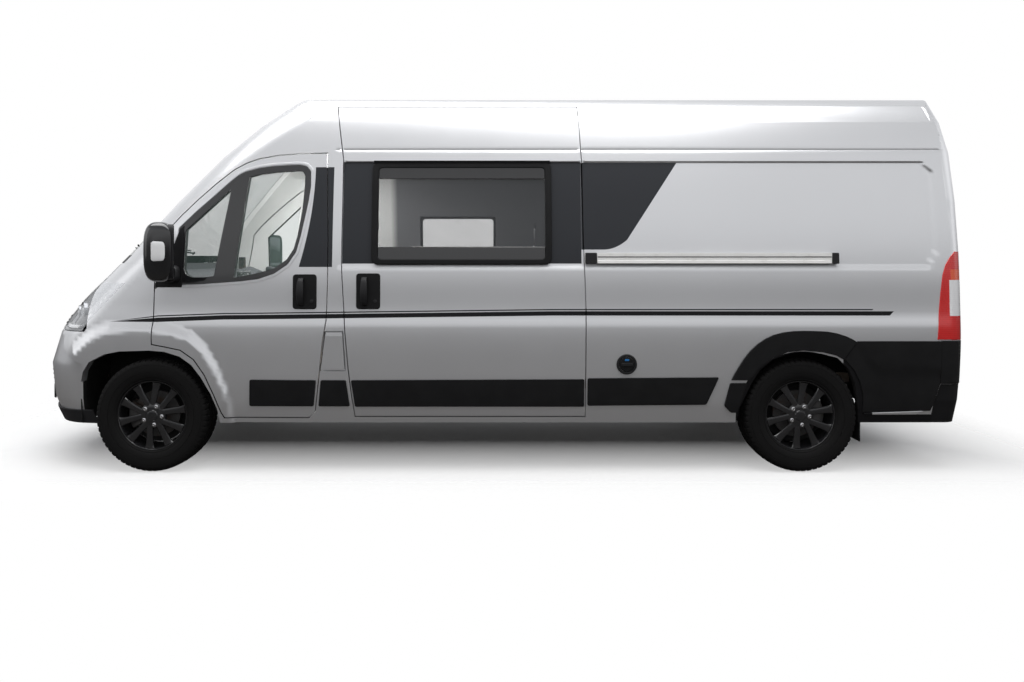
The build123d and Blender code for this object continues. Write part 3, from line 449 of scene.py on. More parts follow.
def planAt(z):
    back, bow, corner, half, side, lean = np.moveaxis(rowsAt(z), -1, 0)
    nose = frontX + back
    sideCy = half - side
    bowCx = nose + bow
    r1, r2 = side - corner, bow - corner
    dx, dy = bowCx - sideBowX, -sideCy
    d = np.hypot(dx, dy)
    a = (r1 * r1 - r2 * r2 + d * d) / (2 * d)
    h = np.sqrt(r1 * r1 - a * a)
    mx, my = sideBowX + a * dx / d, sideCy + a * dy / d
    x1, y1 = mx + h * dy / d, my - h * dx / d
    x2, y2 = mx - h * dy / d, my + h * dx / d
    second = ((x2 < x1) & (y2 > 0)) | (y1 <= 0)
    cx, cy = np.where(second, x2, x1), np.where(second, y2, y1)
    p1y = cy * bow / r2
    p2x = sideBowX + (cx - sideBowX) * side / r1
    return dict(bow=bow, corner=corner, half=half, side=side, sideCy=sideCy, bowCx=bowCx, cx=cx, cy=cy,
                p1y=p1y, p2x=p2x, tail=rearX - lean)


def halfAt(x, z):
    p = planAt(z)
    x = np.asarray(x, float)
    bowed = p["sideCy"] + np.sqrt(p["side"] ** 2 - (x - sideBowX) ** 2)
    turned = p["cy"] + np.sqrt(np.maximum(p["corner"] ** 2 - (x - p["cx"]) ** 2, 0))
    return np.where(x >= sideBowX, p["half"], np.where(x >= p["p2x"], bowed, turned))


def ease(value, low, high):
    t = np.clip((value - low) / (high - low), 0.0, 1.0)
    return t * t * (3 - 2 * t)


# top of the swell round the front wheel, and the edge of the arch
flareLine = [(-2.57, .80), (-2.45, .905), (-2.336, .946), (-2.2, .955), (-2.06, .952), (-1.92, .93),
             (-1.79, .885), (-1.69, .79), (-1.62, .665), (-1.56, .50), (-1.53, .34)]
archLine = [(-2.5, .55), (-2.47, .64), (-2.4, .70), (-2.3, .742), (-2.18, .758), (-2.062, .759),
            (-1.965, .752), (-1.868, .723), (-1.793, .670), (-1.736, .595), (-1.675, .490), (-1.637, .394),
            (-1.6, .30)]


def distanceTo(line, x, z):
    # distance to the nearest point of a run of straight lines
    line = np.asarray(line, float)
    best = np.full(np.shape(x), 9.0)
    for (ax, az), (bx, bz) in zip(line[:-1], line[1:]):
        ex, ez = bx - ax, bz - az
        t = np.clip(((x - ax) * ex + (z - az) * ez) / (ex * ex + ez * ez), 0, 1)
        best = np.minimum(best, np.hypot(x - ax - t * ex, z - az - t * ez))
    return best


pressLook = {
    # gutter groove, sunk window band, flank under the shoulder, swell round the front wheel
    "groove": (2.01, 2.0135, 2.0195, 2.023), "grooveDeep": 0.0035, "band": (1.256, 1.296, 1.932, 1.944),
    "bandDeep": 0.009, "bandEnd": 2.815, "flankTop": 1.25, "flankTall": 0.262, "flankDeep": 0.006,
    "lineZ": 0.985, "swell": 0.024, "swellReach": 0.7, "swellX": (-2.62, -1.5), "archReach": 0.3,
}


def relief(x, z):
    # how far the sheet stands out from the plain form
    look = pressLook
    x, z = np.asarray(x, float), np.asarray(z, float)
    low, lowEnd, high, highEnd = look["groove"]
    groove = ease(z, low, lowEnd) * (1 - ease(z, high, highEnd)) * ease(x, -0.93, -0.9)
    low, lowEnd, high, highEnd = look["band"]
    band = ease(z, low, lowEnd) * (1 - ease(z, high, highEnd)) * ease(x, -0.9, -0.868)
    cornerX = look["bandEnd"] - 0.05 * (1 - ease(z, 1.3, 1.38)) - 0.05 * ease(z, 1.86, 1.93)
    band = band * (1 - ease(x - cornerX, 0.0, 0.03))
    flank = ease(look["flankTop"] - z, 0.0, look["flankTall"]) * (1 - ease(look["lineZ"] - z, 0.0, 0.08))
    flank = flank * ease(x, -2.25, -1.9)
    toFlare, toArch = distanceTo(flareLine, x, z), distanceTo(archLine, x, z)
    across = np.clip(toFlare / np.maximum(toFlare + toArch, 1e-4), 0, 1)
    fromWheel = np.hypot((x + 2.05) * 1.02, (z - 0.34))
    near = (fromWheel < look["swellReach"]) & (x > look["swellX"][0]) & (x < look["swellX"][1])
    near &= (toArch < look["archReach"]) & (flareSide(x, z) <= 0)
    swell = look["swell"] * ease(across, 0.02, 0.42) * (1 - ease(toFlare, 0.3, 0.42))
    return (np.where(near, swell, 0.0) - look["grooveDeep"] * groove - look["bandDeep"] * band
            - look["flankDeep"] * flank)


def flareSide(x, z):
    # above 0 outside the flare line
    line = np.asarray(flareLine)
    edge = np.interp(x, line[:, 0], line[:, 1], left=0.0, right=0.0)
    return z - edge


def grow(points, d):
    # moves every side of a closed outline outwards
    pts = [tuple(p) for p in points]
    n = len(pts)
    area = sum(pts[i][0] * pts[(i + 1) % n][1] - pts[(i + 1) % n][0] * pts[i][1] for i in range(n))
    s = 1.0 if area > 0 else -1.0
    out = []
    for i in range(n):
        (ax, ay), (bx, by), (cx, cy) = pts[i - 1], pts[i], pts[(i + 1) % n]
        l1, l2 = math.hypot(bx - ax, by - ay) or 1e-9, math.hypot(cx - bx, cy - by) or 1e-9
        n1 = (s * (by - ay) / l1, -s * (bx - ax) / l1)
        n2 = (s * (cy - by) / l2, -s * (cx - bx) / l2)
        k = d / max(0.35, 1.0 + n1[0] * n2[0] + n1[1] * n2[1])
        out.append((bx + k * (n1[0] + n2[0]), by + k * (n1[1] + n2[1])))
    return out


def rounded(points, r, steps):
    # rounds every corner of a closed outline
    pts = [Vector(p) for p in points]
    out = []
    for i, b in enumerate(pts):
        a, c = pts[i - 1], pts[(i + 1) % len(pts)]
        u, v = (a - b), (c - b)
        reach = min(r, u.length * 0.45, v.length * 0.45)
        p, q = b + u.normalized() * reach, b + v.normalized() * reach
        for k in range(steps + 1):
            t = k / steps
            out.append(tuple(p * (1 - t) ** 2 + b * 2 * t * (1 - t) + q * t * t))
    return out


def dense(points, step):
    # a closed line with its long stretches divided
    pts = [np.asarray(p, float) for p in points]
    out = []
    for a, b in zip(pts, pts[1:] + pts[:1]):
        count = max(1, int(math.ceil(np.linalg.norm(b - a) / step)))
        out += [a + (b - a) * k / count for k in range(count)]
    return np.array(out)


def insideOf(points, loops):
    # even and odd crossings of all the loops
    points = np.asarray(points, float)
    hits = np.zeros(len(points), int)
    for loop in loops:
        a = np.asarray(loop, float)
        hits += crossings(points, a, np.roll(a, -1, axis=0))
    return hits % 2 == 1


def crossings(points, a, b):
    # how many of the sides from a to b lie beyond each point
    total = np.zeros(len(points), int)
    for start in range(0, len(points), 4000):
        p = points[start:start + 4000]
        az, bz = a[None, :, 1], b[None, :, 1]
        pz, px = p[:, None, 1], p[:, None, 0]
        spans = (az > pz) != (bz > pz)
        rise = np.where(bz == az, 1.0, bz - az)
        at = a[None, :, 0] + (pz - az) / rise * (b[None, :, 0] - a[None, :, 0])
        total[start:start + 4000] = (spans & (px < at)).sum(1)
    return total


def triangles(points, links):
    # flat triangles between the points, which keep the linked sides
    verts, _, faces, _, _, _ = delaunay_2d_cdt([Vector(p) for p in points], links, [], 0, 1e-7)
    return np.array([tuple(v) for v in verts]), np.array([f for f in faces if len(f) == 3])


def gridOf(xs, zs):
    gx, gz = np.meshgrid(xs, zs)
    return np.stack([gx.ravel(), gz.ravel()], 1)


def fill(loops, xs, zs):
    # flat triangles inside closed loops, with grid points in between that keep clear of the loops
    clearance = 0.004
    edgePoints = np.concatenate(loops)
    grid = gridOf(xs, zs)
    grid = grid[insideOf(grid, loops)]
    if len(grid):
        room = np.full(len(grid), 9.0)
        for loop in loops:
            room = np.minimum(room, distanceTo(np.vstack([loop, loop[:1]]), grid[:, 0], grid[:, 1]))
        grid = grid[room > clearance]
    edges = []
    base = 0
    for loop in loops:
        n = len(loop)
        edges += [(base + i, base + (i + 1) % n) for i in range(n)]
        base += n
    verts, faces = triangles(np.concatenate([edgePoints, grid]), edges)
    centre = verts[faces].mean(1)
    faces = faces[insideOf(centre, loops)]
    a, b, c = verts[faces[:, 0]], verts[faces[:, 1]], verts[faces[:, 2]]
    turn = (b[:, 0] - a[:, 0]) * (c[:, 1] - a[:, 1]) - (b[:, 1] - a[:, 1]) * (c[:, 0] - a[:, 0])
    faces = faces[np.abs(turn) > 1e-10]
    turn = turn[np.abs(turn) > 1e-10]
    faces[turn < 0] = faces[turn < 0][:, ::-1]
    return verts, faces


def shade(mesh, angle):
    # soft, with sharp edges past the angle in degrees
    mesh.shade_smooth()
    mesh.set_sharp_from_angle(angle=math.radians(angle))


def makeObject(name, verts, faces, finish, body, smooth):
    mesh = bpy.data.meshes.new(name)
    mesh.from_pydata([tuple(v) for v in verts], [], [tuple(int(i) for i in f) for f in faces])
    mesh.validate()
    for m in (finish if isinstance(finish, (list, tuple)) else [finish]):
        mesh.materials.append(m)
    shade(mesh, smooth)
    obj = bpy.data.objects.new(name, mesh)
    bpy.context.collection.objects.link(obj)
    if body:
        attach(obj, body)
    return obj


def sheetAt(x, z):
    # half width of the pressed sheet
    return halfAt(x, z) + relief(x, z)


def sheetNormals(x, z, side):
    # outward directions of the pressed sheet
    e = 0.0015
    hx = (sheetAt(x + e, z) - sheetAt(x - e, z)) / (2 * e)
    hz = (sheetAt(x, z + e) - sheetAt(x, z - e)) / (2 * e)
    n = np.stack([-hx, np.full_like(hx, float(side)), -hz], 1)
    return n / np.linalg.norm(n, axis=1)[:, None]


# rows and columns of the pressed sheet, closer at its creases
gridX = np.arange(-3.0, 3.0, 0.03)
creases = [2.0095, 2.0118, 2.0138, 2.0165, 2.0192, 2.0212, 2.0235, 1.25, 1.258, 1.266, 1.274, 1.283, 1.291,
           1.298, 1.93, 1.934, 1.938, 1.942, 1.946]
gridZ = np.sort(np.concatenate([np.arange(0.3, 2.36, 0.026), creases]))


def pointsOf(mesh):
    co = np.empty(len(mesh.vertices) * 3)
    mesh.vertices.foreach_get("co", co)
    return co.reshape(-1, 3)


def bake(obj):
    # applies the modifiers
    bpy.context.view_layer.update()
    graph = bpy.context.evaluated_depsgraph_get()
    shaped = bpy.data.meshes.new_from_object(obj.evaluated_get(graph))
    obj.modifiers.clear()
    obj.data = shaped


def weld(obj):
    # points and triangles of a node, with its shared points joined
    mesh = obj.data
    co = pointsOf(mesh)
    mesh.calc_loop_triangles()
    tri = np.empty(len(mesh.loop_triangles) * 3, int)
    mesh.loop_triangles.foreach_get("vertices", tri)
    key, first, back = np.unique(np.round(co / 2e-5).astype(np.int64), axis=0, return_index=True,
                                 return_inverse=True)
    tri = back.reshape(-1)[tri].reshape(-1, 3)
    co = co[first]
    good = (tri[:, 0] != tri[:, 1]) & (tri[:, 1] != tri[:, 2]) & (tri[:, 0] != tri[:, 2])
    return co, tri[good]


def borderOf(tri):
    # edges that belong to one triangle only
    pairs = np.sort(np.concatenate([tri[:, [0, 1]], tri[:, [1, 2]], tri[:, [2, 0]]]), axis=1)
    edges, count = np.unique(pairs, axis=0, return_counts=True)
    return edges[count == 1]


def splitLong(co, border, longest):
    # long border edges get points between their ends, which the faces beside them share
    between, extra, whole = {}, [], []
    for i, j in border:
        n = int(np.linalg.norm(co[j] - co[i]) // longest)
        if n > 0:
            t = np.arange(1, n + 1)[:, None] / (n + 1)
            start = len(co) + len(extra)
            extra += list(co[i] + (co[j] - co[i]) * t)
            between[(i, j)] = list(range(start, start + n))
    for i, j in border:
        run = [i] + between.get((i, j), []) + [j]
        whole += list(zip(run[:-1], run[1:]))
    return (np.concatenate([co, np.array(extra)]) if extra else co), np.array(whole), between


def withoutPockets(co, border, size):
    # a loop as small as a pocket's breakthrough is closed over
    group = {v: v for v in np.unique(border)}

    def root(v):
        while group[v] != v:
            group[v] = group[group[v]]
            v = group[v]
        return v

    for i, j in border:
        group[root(i)] = root(j)
    loops = {}
    for v in np.unique(border):
        loops.setdefault(root(v), []).append(v)
    small = {v for loop in loops.values() if np.ptp(co[loop], axis=0).max() < size for v in loop}
    return np.array([e for e in border if e[0] not in small])


def withRuns(tri, between):
    # the faces beside the sheet take the points added to its border
    faces = []
    for t in tri:
        face = []
        for a, b in ((t[0], t[1]), (t[1], t[2]), (t[2], t[0])):
            face.append(a)
            run = between.get((min(a, b), max(a, b)), [])
            face += run if a < b else run[::-1]
        faces.append(face)
    return faces


def sheetGrid(flat, links, side):
    # triangles inside the border, seen from the side, with the grid's points in between
    a, b = flat[[l[0] for l in links]], flat[[l[1] for l in links]]
    low, high = flat.min(0), flat.max(0)
    xs = gridX[(gridX > low[0]) & (gridX < high[0])]
    zs = gridZ[(gridZ > low[1]) & (gridZ < high[1])]
    grid = gridOf(xs, zs)
    grid = grid[crossings(grid, a, b) % 2 == 1]
    verts, faces = triangles(np.concatenate([flat, grid]), links)
    faces = faces[crossings(verts[faces].mean(1), a, b) % 2 == 1]
    q = verts[faces]
    turn = np.cross(q[:, 1] - q[:, 0], q[:, 2] - q[:, 0])
    flip = turn * side > 0
    faces[flip] = faces[flip][:, ::-1]
    return verts, faces


def backSlots(middle, facing, door):
    # 1 is the lining of inner faces, 2 the dark plastic in the arches and round the door's glass
    fromFront = np.hypot(middle[:, 0] + 2.051, middle[:, 2] - 0.352)
    fromRear = np.hypot(middle[:, 0] - 1.984, middle[:, 2] - 0.352)
    sunk = np.abs(middle[:, 1]) < halfAt(middle[:, 0], middle[:, 2]) - 0.012
    arch = (np.minimum(fromFront, fromRear) < 0.475) & ((facing < 0.35) | sunk)
    reveal = (np.abs(facing) < 0.35) & (middle[:, 2] > 1.2) & (middle[:, 0] < -1.0) & door
    return np.where(arch | reveal, 2, np.where(facing < -0.3, 1, 0))


def remade(node, mesh):
    # the new form in the node's place
    obj = bpy.data.objects.new(mesh.name, mesh)
    bpy.context.collection.objects.link(obj)
    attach(obj, bodyOf[node])
    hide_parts(node)


def pressed(node, finish):
    # the node again, its outer sheet remade as a fine pressed form
    co, tri = weld(nodes[node])
    p = co[tri]
    normal = np.cross(p[:, 1] - p[:, 0], p[:, 2] - p[:, 0])
    unit = normal / np.maximum(np.linalg.norm(normal, axis=1), 1e-12)[:, None]
    side = -1 if co[:, 1].mean() < 0 else 1
    onSkin = np.abs(np.abs(co[:, 1]) - halfAt(co[:, 0], co[:, 2])) < 0.008
    onSkin &= (co[:, 0] < 2.9095) & (co[:, 2] < 2.3) & (co[:, 1] * side > 0.3)
    outer = onSkin[tri].all(1) & (unit[:, 1] * side > 0.45)
    restTri = tri[~outer]
    co, border, between = splitLong(co, borderOf(tri[outer]), 0.026)
    border = withoutPockets(co, border, 0.085)
    used = np.unique(border)
    index = {v: i for i, v in enumerate(used)}
    verts, faces = sheetGrid(co[used][:, [0, 2]], [(index[a], index[b]) for a, b in border], side)
    moved = co.copy()
    moved[used, 1] = side * sheetAt(co[used, 0], co[used, 2])
    fresh = np.stack([verts[:, 0], side * sheetAt(verts[:, 0], verts[:, 1]), verts[:, 1]], 1)
    restFaces = withRuns(restTri, between)
    kept = np.unique([v for f in restFaces for v in f])
    renum = np.full(len(co), -1)
    renum[kept] = np.arange(len(kept))
    allVerts = np.concatenate([moved[kept], fresh])
    allFaces = [tuple(int(renum[v]) for v in f) for f in restFaces]
    allFaces += [tuple(int(v) + len(kept) for v in f) for f in faces]
    mesh = bpy.data.meshes.new(node + "_pressed")
    mesh.from_pydata(allVerts.tolist(), [], allFaces)
    for look in (finish, innerLining, underPlastic):
        mesh.materials.append(look)
    slots = np.zeros(len(allFaces), int)
    slots[:len(restFaces)] = backSlots(co[restTri].mean(1), unit[~outer][:, 1] * side, "door" in node)
    mesh.polygons.foreach_set("material_index", slots)
    shade(mesh, 24)
    mesh.update()
    # the sheet shades as the smooth form does
    corners = np.empty(len(mesh.loops) * 3)
    mesh.corner_normals.foreach_get("vector", corners)
    corners = corners.reshape(-1, 3)
    vertexOf = np.empty(len(mesh.loops), int)
    mesh.loops.foreach_get("vertex_index", vertexOf)
    isNew = vertexOf >= len(kept)
    spots = allVerts[vertexOf[isNew]]
    corners[isNew] = sheetNormals(spots[:, 0], spots[:, 2], side)
    mesh.normals_split_custom_set(corners.tolist())
    remade(node, mesh)
    print("pressed", node, len(allFaces), "faces,", int(outer.sum()), "before")


def ontoForm(points):
    # the nearest place on the plain form, at the same height, and how far off it lies
    p = planAt(points[:, 2])
    x, y = points[:, 0], np.abs(points[:, 1])
    reach = np.hypot(x - p["cx"], y - p["cy"])
    bowed, flank = y <= p["p1y"], x >= p["p2x"]
    bowX = p["bowCx"] - np.sqrt(np.maximum(p["bow"] ** 2 - y * y, 0))
    newX = np.where(bowed, bowX, np.where(flank, x, p["cx"] + (x - p["cx"]) * p["corner"] / reach))
    newY = np.where(bowed, y, np.where(flank, halfAt(x, points[:, 2]),
                                       p["cy"] + (y - p["cy"]) * p["corner"] / reach))
    return newX, newY, np.hypot(newX - x, newY - y)


def outward(face):
    # how far a face looks away from the middle of the vehicle
    spot = face.calc_center_median()
    away = Vector((spot.x + 1.2, spot.y, 0)).normalized()
    return face.normal.dot(away)


def smoothed(node, finish):
    # the node again, its outer sheet cut finer and laid on the smooth form
    longest, angle = 0.05, 26.0
    co, tri = weld(nodes[node])
    bm = bmesh.new()
    for c in co:
        bm.verts.new(c)
    bm.verts.ensure_lookup_table()
    for t in tri:
        try:
            bm.faces.new([bm.verts[i] for i in t])
        except ValueError:
            pass
    bm.normal_update()
    onSkin = ontoForm(np.array([v.co[:] for v in bm.verts]))[2] < 0.01
    for v, s in zip(bm.verts, onSkin):
        v.select = bool(s)
    outer = [f for f in bm.faces if all(v.select for v in f.verts) and outward(f) > 0.15]
    marked = {v.index for f in outer for v in f.verts}
    layer = bm.verts.layers.int.new("skin")
    bm.verts.ensure_lookup_table()
    for i in marked:
        bm.verts[i][layer] = 1
    for _ in range(6):
        long = [e for e in bm.edges if e.verts[0][layer] and e.verts[1][layer] and e.calc_length() > longest]
        if not long:
            break
        made = bmesh.ops.subdivide_edges(bm, edges=long, cuts=1, use_grid_fill=False)
        for g in made["geom_inner"]:
            if isinstance(g, bmesh.types.BMVert):
                g[layer] = 1
        bmesh.ops.triangulate(bm, faces=[f for f in bm.faces if len(f.verts) > 3])
    onIt = [v for v in bm.verts if v[layer]]
    newX, newY, off = ontoForm(np.array([v.co[:] for v in onIt]))
    for v, ax, ay, gap in zip(onIt, newX, newY, off):
        if gap <= 0.012:
            v.co.x, v.co.y = float(ax), float(math.copysign(ay, v.co.y))
    mesh = bpy.data.meshes.new(node + "_smooth")
    bm.normal_update()
    for face in bm.faces:
        # the bumper is dark plastic at its back
        back = node == "front_bumper" and outward(face) < 0.25 and abs(face.normal.z) < 0.95
        face.material_index = 1 if back else 0
    bm.to_mesh(mesh)
    bm.free()
    mesh.materials.append(finish)
    mesh.materials.append(underPlastic)
    shade(mesh, angle)
    remade(node, mesh)


def copied(node, finish, angle, lined=False):
    # the node again with soft shading over its curves
    co, tri = weld(nodes[node])
    obj = makeObject(node + "_finished", co, tri, [finish, innerLining] if lined else finish, bodyOf[node],
                     angle)
    if lined:
        # faces turned to the inside of the vehicle take the lining
        for face in obj.data.polygons:
            x, y, z = face.normal
            inward = -z if node == "roof" else -x
            face.material_index = 1 if inward > 0.3 else 0
    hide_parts(node)
    return obj


def onBody(u, z, side, lift):
    # a point on the flank, round the tail corner and across the tail, with its lift
    u, z = np.asarray(u, float), np.asarray(z, float)
    p = planAt(z)
    start = p["tail"] - tailRound
    half = halfAt(np.minimum(u, start), z)
    past = u - start
    turn = np.clip(past / tailRound, 0, math.pi / 2)
    across = np.maximum(past - tailRound * math.pi / 2, 0)
    lx = start + (tailRound + lift) * np.sin(turn)
    ly = p["half"] - tailRound + (tailRound + lift) * np.cos(turn) - across
    flat = past <= 0
    x = np.where(flat, u, lx)
    y = np.where(flat, half + relief(u, z) + lift, ly)
    return np.stack([x, side * y, z], -1)


def onPlain(u, z, side, lift):
    # the plain form without its pressed lines
    u, z = np.asarray(u, float), np.asarray(z, float)
    return np.stack([u, side * (halfAt(u, z) + lift), z], -1)


def drape(name, loop, lift, finish, body="van_body", holes=(), side=-1, foot=-0.001, round_=0.003,
          step=0.03, raise_=None, form=None, toward=None, plain=False, smooth=20.0):
    # a trim piece laid on the flank: rounded edge, flat back
    form = form or (onPlain if plain else onBody)
    toward = toward or (0, side, 0)
    loops = [dense(loop, step)] + [dense(h, step) for h in holes]
    heights = [foot, lift - round_, lift - round_ * 0.3, lift]
    shrink = [0.0, 0.0, round_ * 0.3, round_]
    rings = []
    for i, ring in enumerate(loops):
        sign = 1.0 if i == 0 else -1.0
        rings.append([np.array(grow(ring, -sign * s)) for s in shrink])
    verts, faces = [], []
    base = 0
    for ring in rings:
        n = len(ring[0])
        for k, points in enumerate(ring):
            extra = raise_(points[:, 0], points[:, 1]) if raise_ is not None and heights[k] > 0 else 0.0
            verts.append(form(points[:, 0], points[:, 1], side, heights[k] + extra))
        # the walls turn the same way as the wide face
        x, z = ring[0][:, 0], ring[0][:, 1]
        turns = float((x * np.roll(z, -1) - np.roll(x, -1) * z).sum()) > 0
        for k in range(len(shrink) - 1):
            for i in range(n):
                j = (i + 1) % n
                wall = (base + k * n + i, base + k * n + j, base + (k + 1) * n + j, base + (k + 1) * n + i)
                faces.append(wall if turns == (ring is rings[0]) else wall[::-1])
        base += n * len(shrink)
    tops = [r[-1] for r in rings]
    low, high = tops[0].min(0), tops[0].max(0)
    xs = np.arange(low[0] + step / 2, high[0], step)
    zs = np.arange(low[1] + step / 2, high[1], step)
    flat, tris = fill(tops, xs, zs)
    extra = raise_(flat[:, 0], flat[:, 1]) if raise_ is not None else 0.0
    verts.append(form(flat[:, 0], flat[:, 1], side, lift + extra))
    faces += [tuple(t + base) for t in tris]
    points = np.concatenate(verts)
    obj = makeObject(name, points, faces, finish, None, 180)
    bm = bmesh.new()
    bm.from_mesh(obj.data)
    bmesh.ops.remove_doubles(bm, verts=bm.verts, dist=2e-6)
    bm.normal_update()
    # the wide face with its back to the body looks outwards
    top = [f for f in bm.faces if f.calc_area() > 0]
    apex = max(top, key=lambda f: f.calc_center_median().dot(Vector(toward)))
    if apex.normal.dot(Vector(toward)) < 0:
        bmesh.ops.reverse_faces(bm, faces=bm.faces)
    bm.to_mesh(obj.data)
    bm.free()
    shade(obj.data, smooth)
    if body:
        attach(obj, body)
    return obj


def revolve(profile, steps):
    # profile of (radius, y) turned about the line along y
    turn = np.arange(steps) * 2 * math.pi / steps
    prof = np.asarray(profile, float)
    m = len(prof)
    verts = np.stack([np.outer(np.cos(turn), prof[:, 0]), np.tile(prof[:, 1], (steps, 1)),
                      np.outer(np.sin(turn), prof[:, 0])], -1).reshape(-1, 3)
    faces = []
    for i in range(steps):
        j = (i + 1) % steps
        for k in range(m - 1):
            faces.append((i * m + k, i * m + k + 1, j * m + k + 1, j * m + k))
    return verts, faces


def tidyMesh(obj, smooth):
    bm = bmesh.new()
    bm.from_mesh(obj.data)
    bmesh.ops.remove_doubles(bm, verts=bm.verts, dist=1e-5)
    bmesh.ops.recalc_face_normals(bm, faces=bm.faces)
    bm.to_mesh(obj.data)
    bm.free()
    shade(obj.data, smooth)
    return obj


def gather(name, parts, finish, body="van_body", smooth=30.0):
    # several (verts, faces) joined into one object
    verts, faces, base = [], [], 0
    for v, f in parts:
        v = np.asarray(v, float)
        verts.append(v)
        faces += [tuple(i + base for i in face) for face in f]
        base += len(v)
    obj = makeObject(name, np.concatenate(verts), faces, finish, None, smooth)
    tidyMesh(obj, smooth)
    if body:
        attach(obj, body)
    return obj


def loft(sections, closed=True, caps=True):
    # skin over rings of equal count
    n = len(sections[0])
    verts = [tuple(p) for s in sections for p in s]
    faces = []
    for k in range(len(sections) - 1):
        for i in range(n if closed else n - 1):
            j = (i + 1) % n
            faces.append((k * n + i, k * n + j, (k + 1) * n + j, (k + 1) * n + i))
    if caps:
        faces.append(tuple(range(n))[::-1])
        faces.append(tuple(range((len(sections) - 1) * n, len(sections) * n)))
    return np.array(verts), faces


def superRing(cx, cy, rx, ry, power, count):
    # rounded rectangle in its own plane
    t = np.arange(count) * 2 * math.pi / count
    c, s = np.cos(t), np.sin(t)
    k = (np.abs(c) ** power + np.abs(s) ** power) ** (-1 / power)
    return np.stack([cx + rx * c * k, cy + ry * s * k], 1)


def tube(path, radius, sides):
    # a round bar along a path, with one radius or one for each point
    path = np.asarray(path, float)
    n = len(path)
    d = np.gradient(path, axis=0)
    d /= np.linalg.norm(d, axis=1)[:, None]
    up = np.array([0.0, 1.0, 0.0]) if abs(d[:, 1]).max() < 0.9 else np.array([0.0, 0.0, 1.0])
    a = np.cross(d, up)
    a /= np.maximum(np.linalg.norm(a, axis=1), 1e-9)[:, None]
    b = np.cross(a, d)
    t = np.arange(sides) * 2 * math.pi / sides
    r = np.asarray(radius if hasattr(radius, "__len__") else [radius] * n)
    rings = [path[i] + r[i] * (np.outer(np.cos(t), a[i]) + np.outer(np.sin(t), b[i])) for i in range(n)]
    return loft(rings)


def block(low, high, r, steps):
    # box with rounded edges
    bm = bmesh.new()
    bmesh.ops.create_cube(bm, size=1.0)
    low, high = Vector(low), Vector(high)
    size = high - low
    for v in bm.verts:
        v.co = Vector((low.x + (v.co.x + 0.5) * size.x, low.y + (v.co.y + 0.5) * size.y,
                       low.z + (v.co.z + 0.5) * size.z))
    if r > 0:
        bmesh.ops.bevel(bm, geom=bm.edges[:], offset=min(r, min(size) * 0.45), segments=steps, profile=0.5,
                        affect="EDGES")
    verts = np.array([v.co[:] for v in bm.verts])
    bm.verts.index_update()
    faces = [tuple(v.index for v in f.verts) for f in bm.faces]
    bm.free()
    return verts, faces


print("form helpers ready")


# body panels with their pressed form
skinPanels = ("front_door_left", "front_door_right", "side_door", "side_wall_left", "side_wall_right",
              "front_wing_left", "front_wing_right")
for node in skinPanels:
    pressed(node, paint)
for node, look in (("bonnet", paint), ("front_bumper", paint), ("windscreen", screenGlass)):
    smoothed(node, look)
for node, look in (("roof", paint), ("rear_door_left", paint), ("rear_door_right", paint)):
    copied(node, look, 22.0, True)
print("body panels ready")


# wheels
sides = (("left", -1), ("right", 1))
wheelPlaces = {"front": (-2.051, 0.892), "rear": (1.984, 0.895)}
wheelLook = {"radius": 0.352, "half": 0.1125, "steps": 480, "sipes": 60, "spokeTurn": 29.5, "split": 18.5,
             "spokeIn": 0.052, "spokeOut": 0.2045, "boltCircle": 0.059, "boltTurn": 65.5, "valveAt": 0.1965,
             "valveTurn": -100, "valveIn": 0.045}
tyreLine = [
    # radius and share of the half width, from the outer bead to the middle of the tread
    (0.2178, -0.82), (0.2215, -0.87), (0.227, -0.895), (0.23, -0.885), (0.234, -0.915), (0.244, -0.95),
    (0.256, -0.975), (0.266, -0.988), (0.2675, -0.972), (0.2695, -0.972), (0.271, -0.992), (0.285, -1.0),
    (0.3, -0.998), (0.312, -0.988), (0.3135, -0.972), (0.315, -0.972), (0.3165, -0.984), (0.327, -0.965),
    (0.335, -0.935), (0.3415, -0.89), (0.346, -0.82), (0.3482, -0.74), (0.3492, -0.66), (0.3498, -0.56),
    (0.3425, -0.545), (0.3425, -0.47), (0.3503, -0.455), (0.3512, -0.33), (0.3516, -0.215), (0.344, -0.2),
    (0.344, -0.12), (0.3518, -0.105), (0.352, -0.05),
]


def makeTyreForm(look):
    # a tyre about the origin, below 0 in y outwards, with its grooves, shoulder lugs and sipes
    half = [(r, y * look["half"]) for r, y in tyreLine]
    profile = np.array(half + [(r, -y) for r, y in half[::-1]])
    steps = look["steps"]
    turn = np.arange(steps) * 2 * math.pi / steps
    radius = np.tile(profile[:, 0], (steps, 1))
    share = np.abs(profile[:, 1]) / look["half"]
    shoulder = (share > 0.6) & (share < 0.95) & (profile[:, 0] > 0.33)
    middle = (share < 0.45) & (share > 0.22) & (profile[:, 0] > 0.347)
    ribs = (share < 0.11) & (profile[:, 0] > 0.349)
    cuts = {0: (shoulder, 0.0055), 1: (shoulder, 0.0055), 3: (ribs, 0.0025), 4: (middle, 0.004),
            5: (middle, 0.004)}
    for k in range(steps):
        where, deep = cuts.get(k % (steps // look["sipes"]), (ribs, 0.0))
        radius[k, where] -= deep
    m = len(profile)
    verts = np.stack([radius * np.cos(turn)[:, None], np.tile(profile[:, 1], (steps, 1)),
                      radius * np.sin(turn)[:, None]], -1).reshape(-1, 3)
    faces = []
    for i in range(steps):
        j = (i + 1) % steps
        faces += [(i * m + k, i * m + k + 1, j * m + k + 1, j * m + k) for k in range(m - 1)]
        faces.append((i * m + m - 1, i * m, j * m, j * m + m - 1))
    return verts, faces


